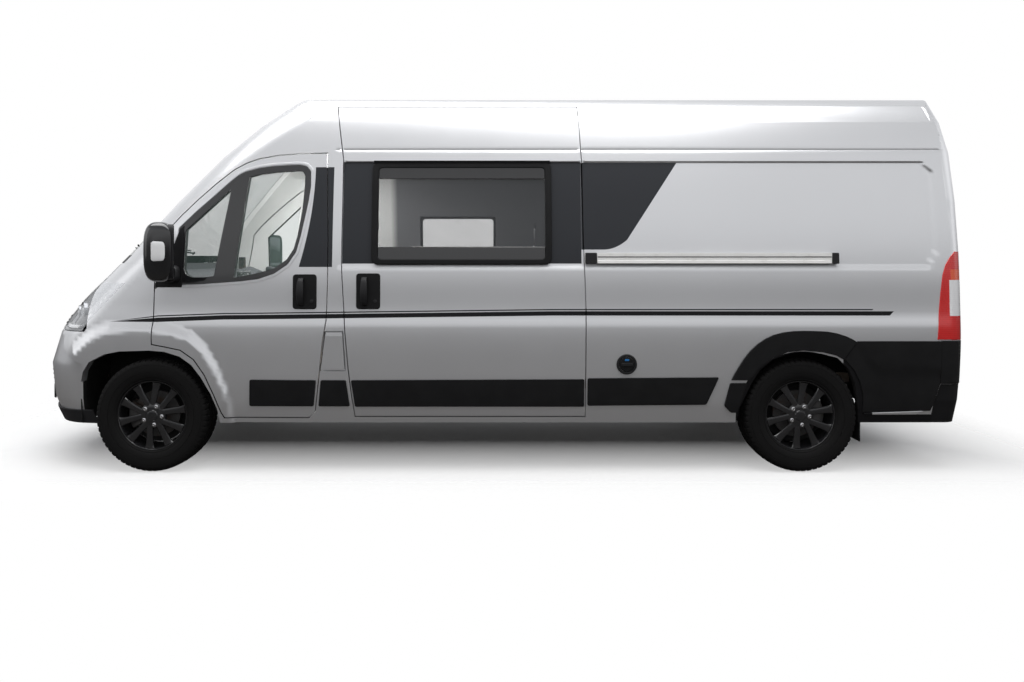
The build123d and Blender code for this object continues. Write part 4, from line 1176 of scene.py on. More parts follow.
rimLine = [(0.2175, -0.086), (0.2175, -0.0895), (0.215, -0.0915), (0.211, -0.091), (0.208, -0.087),
           (0.206, -0.076), (0.2035, -0.06), (0.2, -0.03), (0.193, -0.012), (0.1905, 0.01),
           (0.1915, 0.04), (0.201, 0.056), (0.204, 0.085), (0.21, 0.0905), (0.215, 0.0915),
           (0.2175, 0.0895), (0.2175, 0.07), (0.208, 0.048), (0.196, 0.038), (0.196, 0.012),
           (0.199, -0.006), (0.207, -0.03), (0.209, -0.06), (0.2175, -0.086)]
hubLine = [(0.0, -0.0965), (0.02, -0.0964), (0.029, -0.095), (0.0305, -0.0925), (0.033, -0.09),
           (0.043, -0.089), (0.07, -0.0885), (0.079, -0.085), (0.082, -0.078), (0.082, -0.064),
           (0.05, -0.063), (0.033, -0.064)]


spokeRows = [
    # share of the length, half width, front face, depth
    (0.0, 0.0185, -0.088, 0.026), (0.15, 0.0185, -0.089, 0.026), (0.4, 0.019, -0.088, 0.025),
    (0.65, 0.0205, -0.0868, 0.024), (0.85, 0.023, -0.0862, 0.024), (0.95, 0.0265, -0.0868, 0.026),
    (1.0, 0.03, -0.0875, 0.028),
]
spokeSection = [(-1.0, 0.22), (-0.86, 0.06), (-0.45, 0.0), (0.45, 0.0), (0.86, 0.06), (1.0, 0.22),
                (0.92, 0.75), (0.6, 1.0), (-0.6, 1.0), (-0.92, 0.75)]
boltRows = [
    # radius, y and whether the row is a hexagon
    (0.0125, -0.0884, False), (0.0125, -0.0905, False), (0.01, -0.0912, True), (0.01, -0.0962, True),
    (0.0088, -0.0975, True), (0.004, -0.0975, False), (0.0034, -0.0968, False),
]
capLine = [(0.0, -0.0968), (0.015, -0.0966), (0.0185, -0.0962)]
valveLine = [(0.0, 0), (0.0012, 0.0), (0.0042, -0.03), (0.0058, -0.034), (0.0058, -0.04), (0.0, -0.042)]


def spoke(turn, lean, inner, outer):
    # one arm from the hub to the rim
    a0, a1 = math.radians(turn + lean * 0.45), math.radians(turn + lean)
    p0 = np.array([inner * math.cos(a0), inner * math.sin(a0)])
    p1 = np.array([outer * math.cos(a1), outer * math.sin(a1)])
    run = (p1 - p0) / np.linalg.norm(p1 - p0)
    across = np.array([-run[1], run[0]])
    rings = []
    for t, half, front, deep in spokeRows:
        c = p0 + (p1 - p0) * t
        places = [(c + across * half * w, front + deep * d) for w, d in spokeSection]
        rings.append([(q[0], y, q[1]) for q, y in places])
    return loft(rings)


def wheelBolt(cx, cz):
    t = np.arange(24) * 2 * math.pi / 24
    hexagon = math.cos(math.pi / 6) / np.cos((t % (math.pi / 3)) - math.pi / 6)
    rings = []
    for r, y, flat in boltRows:
        reach = r * hexagon if flat else r + t * 0
        rings.append(np.stack([cx + reach * np.cos(t), np.full(24, y), cz + reach * np.sin(t)], 1))
    return loft(rings)


def makeWheel(end, label, side, cx, track):
    look = wheelLook
    body = "wheel_" + end + "_" + label

    def placed(piece):
        # from the wheel's own axes, where below 0 in y is outwards
        v, f = piece
        return np.stack([cx + v[:, 0], side * track - side * v[:, 1], look["radius"] + v[:, 2]], 1), f

    tyre = gather("tyre_" + end + "_" + label + "_tread", [placed(makeTyreForm(look))], tyreRubber, body)
    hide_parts("tyre_" + end + "_" + label)
    parts = [revolve(rimLine, 120), revolve(hubLine, 72)]
    for pair in range(5):
        for lean in (-look["split"], look["split"]):
            parts.append(spoke(look["spokeTurn"] + 72 * pair, lean, look["spokeIn"], look["spokeOut"]))
    rim = gather("rim_" + end + "_" + label + "_spokes", [placed(p) for p in parts], alloyBlack, body, 28.0)
    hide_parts("rim_" + end + "_" + label)
    bolts = []
    for k in range(5):
        a = math.radians(look["boltTurn"] + 72 * k)
        bolts.append(placed(wheelBolt(look["boltCircle"] * math.cos(a), look["boltCircle"] * math.sin(a))))
    gather("wheel_bolts_" + end + "_" + label, bolts, chrome, body, 20.0)
    gather("wheel_cap_" + end + "_" + label, [placed(revolve(capLine, 48))], glossBlack, body)
    a = math.radians(look["valveTurn"])
    v, f = revolve(valveLine, 16)
    v = v + np.array([look["valveAt"] * math.cos(a), -look["valveIn"], look["valveAt"] * math.sin(a)])
    gather("valve_" + end + "_" + label, [placed((v, f))], sealRubber, body, 35.0)


for end, (cx, track) in wheelPlaces.items():
    for label, side in sides:
        makeWheel(end, label, side, cx, track)
print("wheels ready")


brakeLook = {
    # sections in the wheel's own radius and y, and where the calipers sit round it
    "front": {"turn": (150, 212)}, "rear": {"turn": (-30, 32)},
    "caliper": [(0.095, -0.02), (0.098, -0.044), (0.11, -0.05), (0.15, -0.048), (0.166, -0.038),
                (0.17, -0.01), (0.17, 0.026), (0.16, 0.052), (0.11, 0.056), (0.098, 0.05), (0.095, 0.018),
                (0.12, 0.0145), (0.1505, 0.0145), (0.152, -0.01), (0.1505, -0.0185), (0.12, -0.0185)],
    "dustShield": [(0.07, 0.03), (0.11, 0.033), (0.16, 0.03), (0.1835, 0.024), (0.1845, 0.0265),
                   (0.16, 0.033), (0.11, 0.036), (0.07, 0.033), (0.07, 0.03)],
    "splashShield": [(0.075, 0.104), (0.15, 0.108), (0.205, 0.104), (0.206, 0.107), (0.15, 0.112),
                     (0.075, 0.108), (0.075, 0.104)],
}


def brakePart(name, end, side, piece, finish, body):
    cx, track = wheelPlaces[end]
    v, f = piece
    v = np.stack([cx + v[:, 0], side * (track - v[:, 1]), wheelLook["radius"] + v[:, 2]], 1)
    gather(name, [(v, f)], finish, body)


def caliperForm(start, stop):
    rings = []
    for deg in np.linspace(start, stop, 12):
        a = math.radians(deg)
        rings.append([(r * math.cos(a), y, r * math.sin(a)) for r, y in brakeLook["caliper"]])
    return loft(rings)


# dust shields on the inner side of the brakes, then the calipers round the edges of the discs
for label, side in sides:
    for end, body in (("front", "knuckle_" + label), ("rear", "van_body")):
        brakePart("dust_shield_" + end + "_" + label, end, side, revolve(brakeLook["dustShield"], 72),
                  underPlastic, body)
    brakePart("splash_shield_" + label, "rear", side, revolve(brakeLook["splashShield"], 72),
              underPlastic, "van_body")
for label, side in sides:
    for end, body in (("front", "knuckle_" + label), ("rear", "van_body")):
        brakePart(end + "_caliper_" + label, end, side, caliperForm(*brakeLook[end]["turn"]), discIron, body)
print("brakes ready")


# trim laid on the flanks, (x, z) outlines in metres
def quad(x0, x1, z0, z1):
    return [(x0, z0), (x1, z0), (x1, z1), (x0, z1)]


trimSets = {
    # name: (outline, lift, body, corner radius)
    "door_moulding": ([(-1.44, 0.414), (-1.0405, 0.414), (-1.0235, 0.578), (-1.436, 0.58)], 0.011,
                      "front_door", 0.012),
    "pillar_moulding": ([(-1.01, 0.414), (-0.8165, 0.414), (-0.8385, 0.578), (-0.9935, 0.578)], 0.011,
                        "van_body", 0.01),
    "middle_moulding": ([(-0.7835, 0.412), (0.6355, 0.412), (0.6365, 0.584), (-0.8065, 0.578)], 0.011,
                        "van_body", 0.01),
    "rear_moulding": ([(0.656, 0.418), (1.392, 0.424), (1.469, 0.596), (0.656, 0.59)], 0.011, "van_body",
                      0.012), "arch_foot": ([(1.538, 0.56), (1.64, 0.56), (1.583, 0.374), (1.545, 0.374),
                                             (1.504, 0.418)], 0.013, "van_body", 0.008),
}
rearArchOuter = [(1.546, 0.578), (1.566, 0.62), (1.59, 0.66), (1.622, 0.712), (1.659, 0.759),
                 (1.704, 0.802), (1.754, 0.836), (1.807, 0.86), (1.861, 0.874), (1.924, 0.882),
                 (1.986, 0.884), (2.062, 0.883), (2.137, 0.879), (2.192, 0.869), (2.244, 0.853),
                 (2.286, 0.834), (2.316, 0.815)]
rearArchInner = [(2.237, 0.7055), (2.19, 0.732), (2.105, 0.752), (1.984, 0.762), (1.89, 0.752),
                 (1.8, 0.716), (1.713, 0.652), (1.655, 0.578)]
trimSets["rear_arch"] = (rearArchOuter + rearArchInner, 0.014, "van_body", 0.0)
trimSets["rear_low_panel"] = ([(2.3625, 0.374), (2.783, 0.386), (2.797, 0.4215), (2.836, 0.5545),
                               (2.836, 0.82), (2.3215, 0.82), (2.2405, 0.7045), (2.252, 0.696),
                               (2.302, 0.639), (2.34, 0.565), (2.3625, 0.478)], 0.008, "van_body", 0.002)
trimSets["rear_corner"] = ([(2.838, 0.5545), (3.047, 0.5545), (3.047, 0.8225), (2.838, 0.8225)], 0.008,
                           "van_body", 0.004)
lampFront = [(2.817, 0.8285), (2.831, 1.005), (2.842, 1.12), (2.856, 1.228), (2.876, 1.29),
             (2.906, 1.34), (2.94, 1.373)]


def cornerSink(u, z):
    # the corner piece comes down to the tail
    return -0.0076 * ease(u, 2.925, 3.02)


def lowPanelStep(u, z):
    # pressed step of the panel behind the wheel
    line = np.interp(u, [2.33, 2.4, 2.46, 2.8], [0.8, 0.67, 0.628, 0.628])
    return 0.006 * ease(z - line, -0.004, 0.01)


for label, side in sides:
    for name, (outline, lift, body, corner) in trimSets.items():
        rider = body + "_" + label if body == "front_door" else body
        shape = rounded(outline, corner, 4) if corner > 0 else outline
        drape(name + "_" + label, shape, lift, trimPlastic, rider, side=side,
              raise_={"rear_low_panel": lowPanelStep, "rear_corner": cornerSink}.get(name))
    # pale lower edge behind the wheel
    drape("sill_strip_" + label, rounded([(2.372, 0.36), (2.7, 0.362), (2.742, 0.386), (2.372, 0.372)],
                                         0.004, 3), 0.01, paint, side=side)
    # tail lamp lens that wraps round the corner
    lens = lampFront + [(3.04, 1.3725), (3.04, 0.8285)]
    drape("tail_lens_" + label, lens, 0.0042, redLens, side=side, round_=0.002, step=0.02,
          raise_=lambda u, z: -0.0039 * ease(u, 2.915, 3.0))
print("lower trim ready")

# cab windows: rubber and gloss surrounds, divider and handles
sealOuter = [(-1.904, 1.52), (-1.85, 1.572), (-1.8, 1.62), (-1.681, 1.724), (-1.622, 1.778),
             (-1.569, 1.825), (-1.526, 1.858), (-1.482, 1.88), (-1.396, 1.903), (-1.31, 1.914),
             (-1.21, 1.92), (-1.141, 1.922), (-1.098, 1.912), (-1.072, 1.88), (-1.07, 1.785),
             (-1.08, 1.7), (-1.096, 1.614), (-1.125, 1.47), (-1.152, 1.37), (-1.203, 1.294),
             (-1.287, 1.236), (-1.387, 1.202), (-1.5, 1.188), (-1.626, 1.179), (-1.76, 1.17),
             (-1.89, 1.166), (-1.904, 1.18)]
mainGlass = [(-1.464, 1.844), (-1.4, 1.861), (-1.3, 1.874), (-1.15, 1.883), (-1.118, 1.876),
             (-1.105, 1.85), (-1.105, 1.79), (-1.117, 1.623), (-1.14, 1.48), (-1.164, 1.389),
             (-1.206, 1.322), (-1.286, 1.265), (-1.4, 1.234), (-1.545, 1.206)]
quarterGlass = [(-1.573, 1.772), (-1.858, 1.509), (-1.861, 1.264), (-1.85, 1.232), (-1.807, 1.209),
                (-1.72, 1.211), (-1.663, 1.217)]


handleLook = {
    # x and z of the recess plates, then the grip's place, stand and section, and the lock's place and rim
    "front_handle": (-1.169, -1.021, 1.016, 1.232), "sliding_handle": (-0.776, -0.627, 1.016, 1.238),
    "gripX": 0.052, "gripIn": 0.022, "plate": 0.006, "stand": 0.034, "gripWide": 0.0165, "gripSwell": 0.005,
    "gripThick": 0.0085, "lockX": 0.03, "lockZ": 0.048,
    "lockLine": [(0.0, -0.0035), (0.0095, -0.0035), (0.0115, -0.002), (0.0125, 0.004)],
}


def pullHandle(name, label, side, rider):
    # pull handle in its recess plate, with the lock barrel beside it
    look = handleLook
    x0, x1, z0, z1 = look[name]
    drape(name + "_plate_" + label, rounded(quad(x0, x1, z0, z1), 0.022, 6), look["plate"], trimPlastic,
          rider, side=side, round_=0.003)
    xm = x0 + look["gripX"]
    rings = []
    for t in np.linspace(0, 1, 15):
        z = z0 + look["gripIn"] + (z1 - z0 - 2 * look["gripIn"]) * t
        out = float(sheetAt(xm, z)) + look["plate"] + look["stand"] * math.sin(math.pi * t) ** 0.45
        wide = look["gripWide"] + look["gripSwell"] * math.sin(math.pi * t)
        ring = superRing(0, 0, wide, look["gripThick"], 3.0, 20)
        rings.append([(xm + a, side * (out + b), z) for a, b in ring])
    gather(name + "_grip_" + label, [loft(rings)], blackPlastic, rider, 40.0)
    xc, zc = x1 - look["lockX"], z0 + look["lockZ"]
    v, f = revolve(look["lockLine"], 24)
    v = v + np.array([xc, 0, zc])
    v[:, 1] = side * (float(sheetAt(xc, zc)) + look["plate"] - v[:, 1])
    gather(name + "_lock_" + label, [(v, f)], blackPlastic, rider)


for label, side in sides:
    door = "front_door_" + label
    holes = [rounded(grow(mainGlass, -0.003), 0.01, 4), rounded(grow(quarterGlass, -0.003), 0.012, 4)]
    drape("window_surround_" + label, rounded(sealOuter, 0.01, 3), 0.0045, glossBlack, door, holes=holes,
          side=side, foot=-0.004, round_=0.002)
    drape("window_bead_" + label, rounded(grow(sealOuter, 0.017), 0.012, 3), 0.0032, paint, door,
          holes=[rounded(grow(sealOuter, 0.003), 0.01, 3)], side=side, foot=-0.001, round_=0.0012)
    pullHandle("front_handle", label, side, door)
    if side < 0:
        pullHandle("sliding_handle", label, side, "van_body")
print("cab window trim and handles ready")


# framed acrylic windows of the living space
def halfOf(node, side, finish):
    co, tri = weld(nodes[node])
    own = tri[(co[tri][:, :, 1].mean(1) * side) > 0]
    used = np.unique(own)
    renum = np.zeros(len(co), int)
    renum[used] = np.arange(len(used))
    obj = makeObject(node + ("_left" if side < 0 else "_right"), co[used], renum[own], finish, bodyOf[node],
                     24)
    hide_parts(node)
    return obj


halfOf("side_windows", -1, smokedAcrylic)
# the far pane takes the paler copy, painted light for a window lit from behind
halfOf("side_windows", 1, paleBacklitAcrylic)


windowLook = {
    # x and z of the opening, rim width and whether it has dark bands inside
    "left": ((-0.672, 0.425, 1.298, 1.927), 0.028, True), "right": ((-0.56, 0.09, 1.396, 1.69), 0.02, False),
    "frame": 0.02, "bandHigh": 0.098, "bandLow": 0.104, "bandLift": 0.014, "hinge": 0.024,
}


def framedWindow(label, side):
    look = windowLook
    (x0, x1, z0, z1), rim, banded = look[label]
    outer = rounded(quad(x0 - 0.012, x1 + 0.012, z0 - 0.006, z1 + 0.01), 0.045, 7)
    inner = rounded(quad(x0 + rim, x1 - rim, z0 + rim, z1 - rim), 0.03, 7)
    drape("window_frame_" + label, outer, look["frame"], trimPlastic, holes=[inner], side=side,
          round_=0.006, foot=-0.004)
    bands = (("low", z0 + rim * 0.7, z0 + look["bandLow"]), ("high", z1 - look["bandHigh"], z1 - rim * 0.7))
    for name, low, high in bands if banded else ():
        drape("window_" + name + "_band_" + label, rounded(quad(x0 + rim, x1 - rim, low, high), 0.01, 3),
              look["bandLift"], glossBlack, side=side, foot=0.001)
    hinge = rounded(quad(x0 - 0.004, x1 + 0.004, z1 + 0.002, z1 + 0.018), 0.004, 3)
    drape("window_hinge_" + label, hinge, look["hinge"], blackPlastic, side=side, round_=0.004)


for label, side in sides:
    framedWindow(label, side)


# door rail with its end stops: z low and high, lift, finish, x from and to
railBands = {
    "rail_upper_flange": (1.345, 1.3645, 0.0235, satinRail, 0.718, 2.168),
    "rail_lower_flange": (1.2985, 1.318, 0.0235, satinRail, 0.718, 2.168),
    # painted shade: the rail's groove, drawn as a black strip over the flanges for the dark inside it
    "rail_channel": (1.3365, 1.343, 0.0245, sealRubber, 0.718, 2.168),
    # painted shadow: a black strip under the lower flange for the rail's shadow
    "rail_lower_seam": (1.296, 1.3, 0.0245, sealRubber, 0.718, 2.168),
    "rail_front_stop": (1.2975, 1.3655, 0.026, blackPlastic, 0.642, 0.716),
    "rail_rear_stop": (1.2975, 1.3655, 0.026, blackPlastic, 2.17, 2.214),
}
for name, (z0, z1, lift, finish, x0, x1) in railBands.items():
    drape(name, rounded(quad(x0, x1, z0, z1), min(0.006, (z1 - z0) * 0.3), 3), lift, finish, foot=0.002,
          round_=0.002)


# water filler with its ring, cap and coloured key slot
fillerLook = {"place": (0.898, 0.676), "ring": 0.063, "hole": 0.047, "cap": 0.0455, "bar": (0.036, 0.01),
              "mark": (0.013, 0.022, 0.034)}


def ringAt(x, z, r, count):
    t = np.arange(count) * 2 * math.pi / count
    return [(x + r * math.cos(a), z + r * math.sin(a)) for a in t]


fx, fz = fillerLook["place"]
drape("filler_ring", ringAt(fx, fz, fillerLook["ring"], 64), 0.01, blackPlastic,
      holes=[ringAt(fx, fz, fillerLook["hole"], 48)], round_=0.004)
drape("filler_cap", ringAt(fx, fz, fillerLook["cap"], 48), 0.013, trimPlastic, round_=0.004,
      foot=-0.0005)
barX, barZ = fillerLook["bar"]
drape("filler_bar", rounded(quad(fx - barX, fx + barX, fz - barZ, fz + barZ), 0.008, 4), 0.019,
      blackPlastic, round_=0.003, foot=0.011)
markX, markLow, markHigh = fillerLook["mark"]
drape("filler_mark", rounded(quad(fx - markX, fx + markX, fz + markLow, fz + markHigh), 0.004, 3), 0.0138,
      blueMark, round_=0.0004, foot=0.011)
print("living space windows, rail and fillers ready")


# door mirrors
mirrorLook = {
    # outward place, middle x, half depth, middle z, half height
    "case": [(1.022, -1.935, 0.03, 1.372, 0.1), (1.026, -1.937, 0.052, 1.372, 0.146),
             (1.04, -1.939, 0.066, 1.371, 0.17), (1.075, -1.941, 0.076, 1.37, 0.18),
             (1.12, -1.942, 0.079, 1.37, 0.182), (1.165, -1.941, 0.078, 1.37, 0.18),
             (1.2, -1.939, 0.073, 1.369, 0.173), (1.218, -1.936, 0.065, 1.368, 0.163),
             (1.228, -1.932, 0.052, 1.368, 0.148), (1.232, -1.928, 0.036, 1.367, 0.125)],
    "slant": 0.38, "middle": 1.128, "back": -1.873, "glass": (("main", 1.296, 1.515), ("wide", 1.222, 1.287)),
    "glassHalf": 0.088, "lipZ": 1.37, "lipOuter": (0.099, 0.166), "lipInner": (0.0915, 0.1575),
    "lampX": -1.964, "lampLong": 0.096, "lampY": 1.234, "lampZ": 1.373, "armX": -1.942, "armZ": 1.234,
    "armFrom": 0.955, "armLong": 0.085,
}
# black corner panel of the door behind the mirror
cornerPanel = [(-1.868, 1.15), (-2.037, 1.15), (-2.037, 1.186), (-1.998, 1.24), (-1.96, 1.33),
               (-1.925, 1.43), (-1.896, 1.515), (-1.868, 1.54)]


def slanted(y):
    # the mirror's back slants so that the glass faces the driver
    return mirrorLook["slant"] * (abs(y) - mirrorLook["middle"])


def mirrorCase(label, side):
    look, door = mirrorLook, "front_door_" + label
    rings = []
    for y, mx, rx, mz, rz in look["case"]:
        front, back = mx - rx, look["back"] + slanted(y)
        ring = superRing((front + back + 0.01) / 2, mz, (back + 0.01 - front) / 2, rz, 3.4, 48)
        rings.append([(min(a, back), side * y, b) for a, b in ring])
    case = gather("mirror_case_" + label, [loft(rings)], glossBlack, door, 35.0)
    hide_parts("mirror_" + label)
    for name, low, high in look["glass"]:
        place = (side * look["middle"], (low + high) / 2)
        full = superRing(*place, look["glassHalf"], (high - low) / 2, 6.0, 40)
        edge = superRing(*place, look["glassHalf"] - 0.002, (high - low) / 2 - 0.002, 6.0, 40)
        rows = [[(d + slanted(a), a, b) for a, b in ring]
                for d, ring in ((-1.874, full), (-1.8655, full), (-1.8645, edge))]
        gather("mirror_glass_" + name + "_" + label, [loft(rows)], mirrorGlass, door)
    # shroud lip round the glass
    outer = superRing(side * look["middle"], look["lipZ"], *look["lipOuter"], 5.0, 64)
    inner = superRing(side * look["middle"], look["lipZ"], *look["lipInner"], 6.0, 64)
    rings = [[(d + slanted(a), a, b) for a, b in ring]
             for d, ring in ((-1.892, outer), (-1.862, outer), (-1.858, inner), (-1.878, inner))]
    gather("mirror_lip_" + label, [loft(rings, True, False)], blackPlastic, door)
    # clear repeater on the outer end of the case, its front end turned in
    rows = []
    for t in np.linspace(0, 1, 9):
        y = look["lampY"] - 0.01 * (1 - min(1.0, t * 5.0)) ** 2 - 0.003 * (max(0.0, t - 0.8) * 5.0) ** 2
        ring = superRing(0, 0, 0.009, 0.066 - 0.006 * t, 4.0, 28)
        rows.append([(look["lampX"] + look["lampLong"] * t, side * (y - 0.0085 + a), look["lampZ"] + b)
                     for a, b in ring])
    gather("mirror_repeater_" + label, [loft(rows)], whiteLens, door, 40.0)
    # foot that carries the case on the door
    rows = []
    for t in np.linspace(0, 1, 8):
        ring = superRing(look["armX"] - 0.002 * t, look["armZ"] + 0.004 * t, 0.062 - 0.004 * t,
                         0.056 - 0.004 * t, 3.4, 36)
        rows.append([(a, side * (look["armFrom"] + look["armLong"] * t), b) for a, b in ring])
    gather("mirror_arm_" + label, [loft(rows)], blackPlastic, door, 40.0)


for label, side in sides:
    mirrorCase(label, side)
    drape("mirror_panel_" + label, rounded(cornerPanel, 0.008, 3), 0.0075, trimPlastic, "front_door_" + label,
          side=side, foot=-0.002)
print("mirrors ready")


# nose pieces, placed by the run s from the centre line round the bumper corner
def onNose(s, z, side, lift):
    s, z = np.asarray(s, float), np.asarray(z, float)
    way = np.sign(s) + (s == 0)
    s = np.abs(s)
    p = planAt(z)
    t1 = np.arcsin(np.clip(p["p1y"] / p["bow"], 0, 1))
    s1 = p["bow"] * t1
    nx = (p["p2x"] - sideBowX) / p["side"]
    t2 = np.arctan2(np.sqrt(1 - nx * nx), -nx)
    s2 = s1 + p["corner"] * (t2 - t1)
    a = np.where(s <= s1, s / p["bow"], np.where(s <= s2, t1 + (s - s1) / p["corner"],
                                                 t2 + (s - s2) / p["side"]))
    r = np.where(s <= s1, p["bow"], np.where(s <= s2, p["corner"], p["side"])) + lift
    cx = np.where(s <= s1, p["bowCx"], np.where(s <= s2, p["cx"], sideBowX))
    cy = np.where(s <= s1, 0.0, np.where(s <= s2, p["cy"], p["sideCy"]))
    return np.stack([cx - r * np.cos(a), side * way * (cy + r * np.sin(a)), z], -1)


def runOf(y, z):
    # run round the nose of a point given by its y
    p = planAt(z)
    s = np.sign(y)
    y = abs(y)
    t1 = math.asin(float(p["p1y"] / p["bow"]))
    if y <= p["p1y"]:
        return s * float(p["bow"]) * math.asin(y / float(p["bow"]))
    t = math.asin(min(1.0, (y - float(p["cy"])) / float(p["corner"])))
    return s * (float(p["bow"]) * t1 + float(p["corner"]) * (t - t1))


def noseLoop(points):
    return [(runOf(y, z), z) for y, z in dense(points, 0.02)]


def onNosePiece(name, outline, lift, finish, side=1, **more):
    return drape(name, outline, lift, finish, side=side, form=onNose, toward=(-1, 0, 0), **more)


def turnedAlong(profile, place, direction, steps):
    # profile of (radius, height along the direction)
    v, f = revolve(profile, steps)
    turn = Vector((0, 1, 0)).rotation_difference(Vector(direction).normalized()).to_matrix()
    v = v @ np.array(turn).T + np.array(place)
    return v, f


lampLook = {
    # y and z outline of the headlamp, then y, z, bowl radius and lens radius of each light in it
    "outline": [(0.612, 0.872), (0.938, 0.872), (0.938, 1.178), (0.703, 1.178), (0.612, 1.0)],
    "lights": ((0.715, 0.975, 0.044, 0.02), (0.822, 0.995, 0.052, 0.026)), "deep": 0.046, "bulbDeep": 0.042,
    "running": (0.635, 0.915, 0.888, 0.906), "fog": (0.735, 0.47),
    "fogRing": [(0.03, -0.006), (0.032, 0.002), (0.044, 0.003), (0.049, -0.002), (0.049, -0.01),
                (0.03, -0.01)],
    "fogGlass": [(0.0, 0.003), (0.02, 0.002), (0.0305, -0.002), (0.0305, -0.008)],
}


def aimed(profile, y, z, side, lift, steps):
    # a turned piece that looks straight out of the nose
    spot = onNose(runOf(y, z), z, side, lift)
    return turnedAlong(profile, spot, onNose(runOf(y, z), z, side, lift + 0.1) - spot, steps)


def headlamp(label, side):
    look = lampLook
    loop = noseLoop(look["outline"])
    lens = onNosePiece("headlamp_lens_" + label, rounded(grow(loop, -0.001), 0.012, 4), 0.0, lampLens,
                       side=side, foot=-0.003, round_=0.002)
    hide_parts("headlamps")
    onNosePiece("headlamp_housing_" + label, grow(loop, -0.002), -look["deep"], glossBlack, side=side,
                foot=-0.06, round_=0.001)
    onNosePiece("headlamp_bezel_" + label, grow(loop, -0.0015), -0.005, glossBlack, side=side,
                foot=-look["deep"], holes=[rounded(grow(loop, -0.012), 0.01, 3)], round_=0.001)
    bowls, bulbs = [], []
    for y, z, r, lensR in look["lights"]:
        bowl = [(0.0, 0.001), (r * 0.4, 0.003), (r * 0.75, 0.009), (r, 0.02), (r + 0.003, 0.02),
                (r + 0.003, 0.0), (r * 0.5, -0.004)]
        bulb = [(0.0, 0.022), (lensR * 0.5, 0.02), (lensR * 0.87, 0.012), (lensR, 0.0), (lensR, -0.004)]
        bowls.append(aimed(bowl, y, z, side, -look["deep"], 40))
        bulbs.append(aimed(bulb, y, z, side, -look["bulbDeep"], 28))
    gather("headlamp_reflectors_" + label, bowls, darkMirror)
    gather("headlamp_projectors_" + label, bulbs, clearLens, smooth=40.0)
    low = noseLoop(quad(*look["running"]))
    onNosePiece("running_lamp_" + label, rounded(low, 0.004, 2), -0.014, whiteLens, side=side,
                foot=-0.045, round_=0.003)
    # fog lamp in the bumper corner
    gather("fog_lamp_ring_" + label, [aimed(look["fogRing"], *look["fog"], side, 0.002, 40)], blackPlastic)
    gather("fog_lamp_glass_" + label, [aimed(look["fogGlass"], *look["fog"], side, 0.002, 32)], whiteLens,
           smooth=40.0)


for label, side in sides:
    headlamp(label, side)
print("headlamps ready")


# grille bars, lower intake with its bars, black bumper lip
noseLook = {
    "grilleHalf": 0.548, "grilleZ": (0.893, 0.915, 0.937), "bar": 0.012,
    "intake": [(-0.56, 0.475), (0.56, 0.475), (0.62, 0.6), (-0.62, 0.6)],
    "intakeZ": (0.492, 0.521, 0.55, 0.579), "intakeBars": (("left", -0.565, -0.29), ("right", 0.29, 0.565)),
    "lipTop": 0.377, "lipLow": 0.29, "lipRun": 1.16,
}
for k, z in enumerate(noseLook["grilleZ"]):
    loop = noseLoop(quad(-noseLook["grilleHalf"], noseLook["grilleHalf"], z, z + noseLook["bar"]))
    onNosePiece("grille_bar_" + str(k + 1), rounded(loop, 0.003, 2), 0.006,
                chrome if k == 1 else blackPlastic, foot=-0.002, round_=0.003)
onNosePiece("lower_intake", rounded(noseLoop(noseLook["intake"]), 0.02, 4), 0.003, blackPlastic,
            foot=-0.002, round_=0.002)
for k, z in enumerate(noseLook["intakeZ"]):
    for name, y0, y1 in noseLook["intakeBars"]:
        loop = noseLoop(quad(y0, y1, z, z + noseLook["bar"]))
        onNosePiece("intake_bar_" + name + "_" + str(k + 1), rounded(loop, 0.003, 2), 0.011, blackPlastic,
                    foot=0.001, round_=0.003)
for label, side in sides:
    # the lip runs from the centre round to the wheel arch
    top = [(s, noseLook["lipTop"]) for s in np.linspace(0.0, noseLook["lipRun"], 50)]
    low = [(s, noseLook["lipLow"]) for s in np.linspace(noseLook["lipRun"] - 0.02, 0.0, 50)]
    onNosePiece("bumper_lip_" + label, top + low, 0.008, blackPlastic, side=side, foot=-0.003,
                round_=0.004, step=0.02)
print("grille and bumper ready")


# wipers on the foot of the windscreen
wiperLook = {"spans": (("long", 0.55, -0.02), ("short", -0.12, -0.6)), "armZ": 1.372, "armRise": 0.03,
             "armLift": 0.007, "bladeZ": 1.392, "bladeRise": 0.026, "bladeLift": 0.004, "bladeFrom": 0.06,
             "bladeTo": 0.1, "pivot": [(0.0, 0.005), (0.01, 0.004), (0.014, 0.001), (0.014, -0.006)],
             "pivotLean": (-0.75, 0, 0.65)}


def acrossScreen(y0, y1, z0, rise, lift, count):
    pts = []
    for t in np.linspace(0, 1, count):
        y, z = y0 + (y1 - y0) * t, z0 + rise * math.sin(t * math.pi * 0.5)
        pts.append(onNose(runOf(y, z), z, 1, lift))
    return pts


for name, y0, y1 in wiperLook["spans"]:
    look = wiperLook
    path = acrossScreen(y0, y1, look["armZ"], look["armRise"], look["armLift"], 24)
    gather("wiper_arm_" + name, [tube(path, [0.0065 - 0.003 * t for t in np.linspace(0, 1, 24)], 10)],
           blackPlastic, smooth=50.0)
    path = acrossScreen(y0 - look["bladeFrom"], y1 - look["bladeTo"], look["bladeZ"], look["bladeRise"],
                        look["bladeLift"], 30)
    gather("wiper_blade_" + name, [tube(path, 0.0055, 8)], sealRubber, smooth=50.0)
    spot = onNose(runOf(y0, look["armZ"]), look["armZ"], 1, 0.004)
    gather("wiper_pivot_" + name, [turnedAlong(look["pivot"], spot, look["pivotLean"], 24)], blackPlastic,
           smooth=35.0)
print("wipers ready")


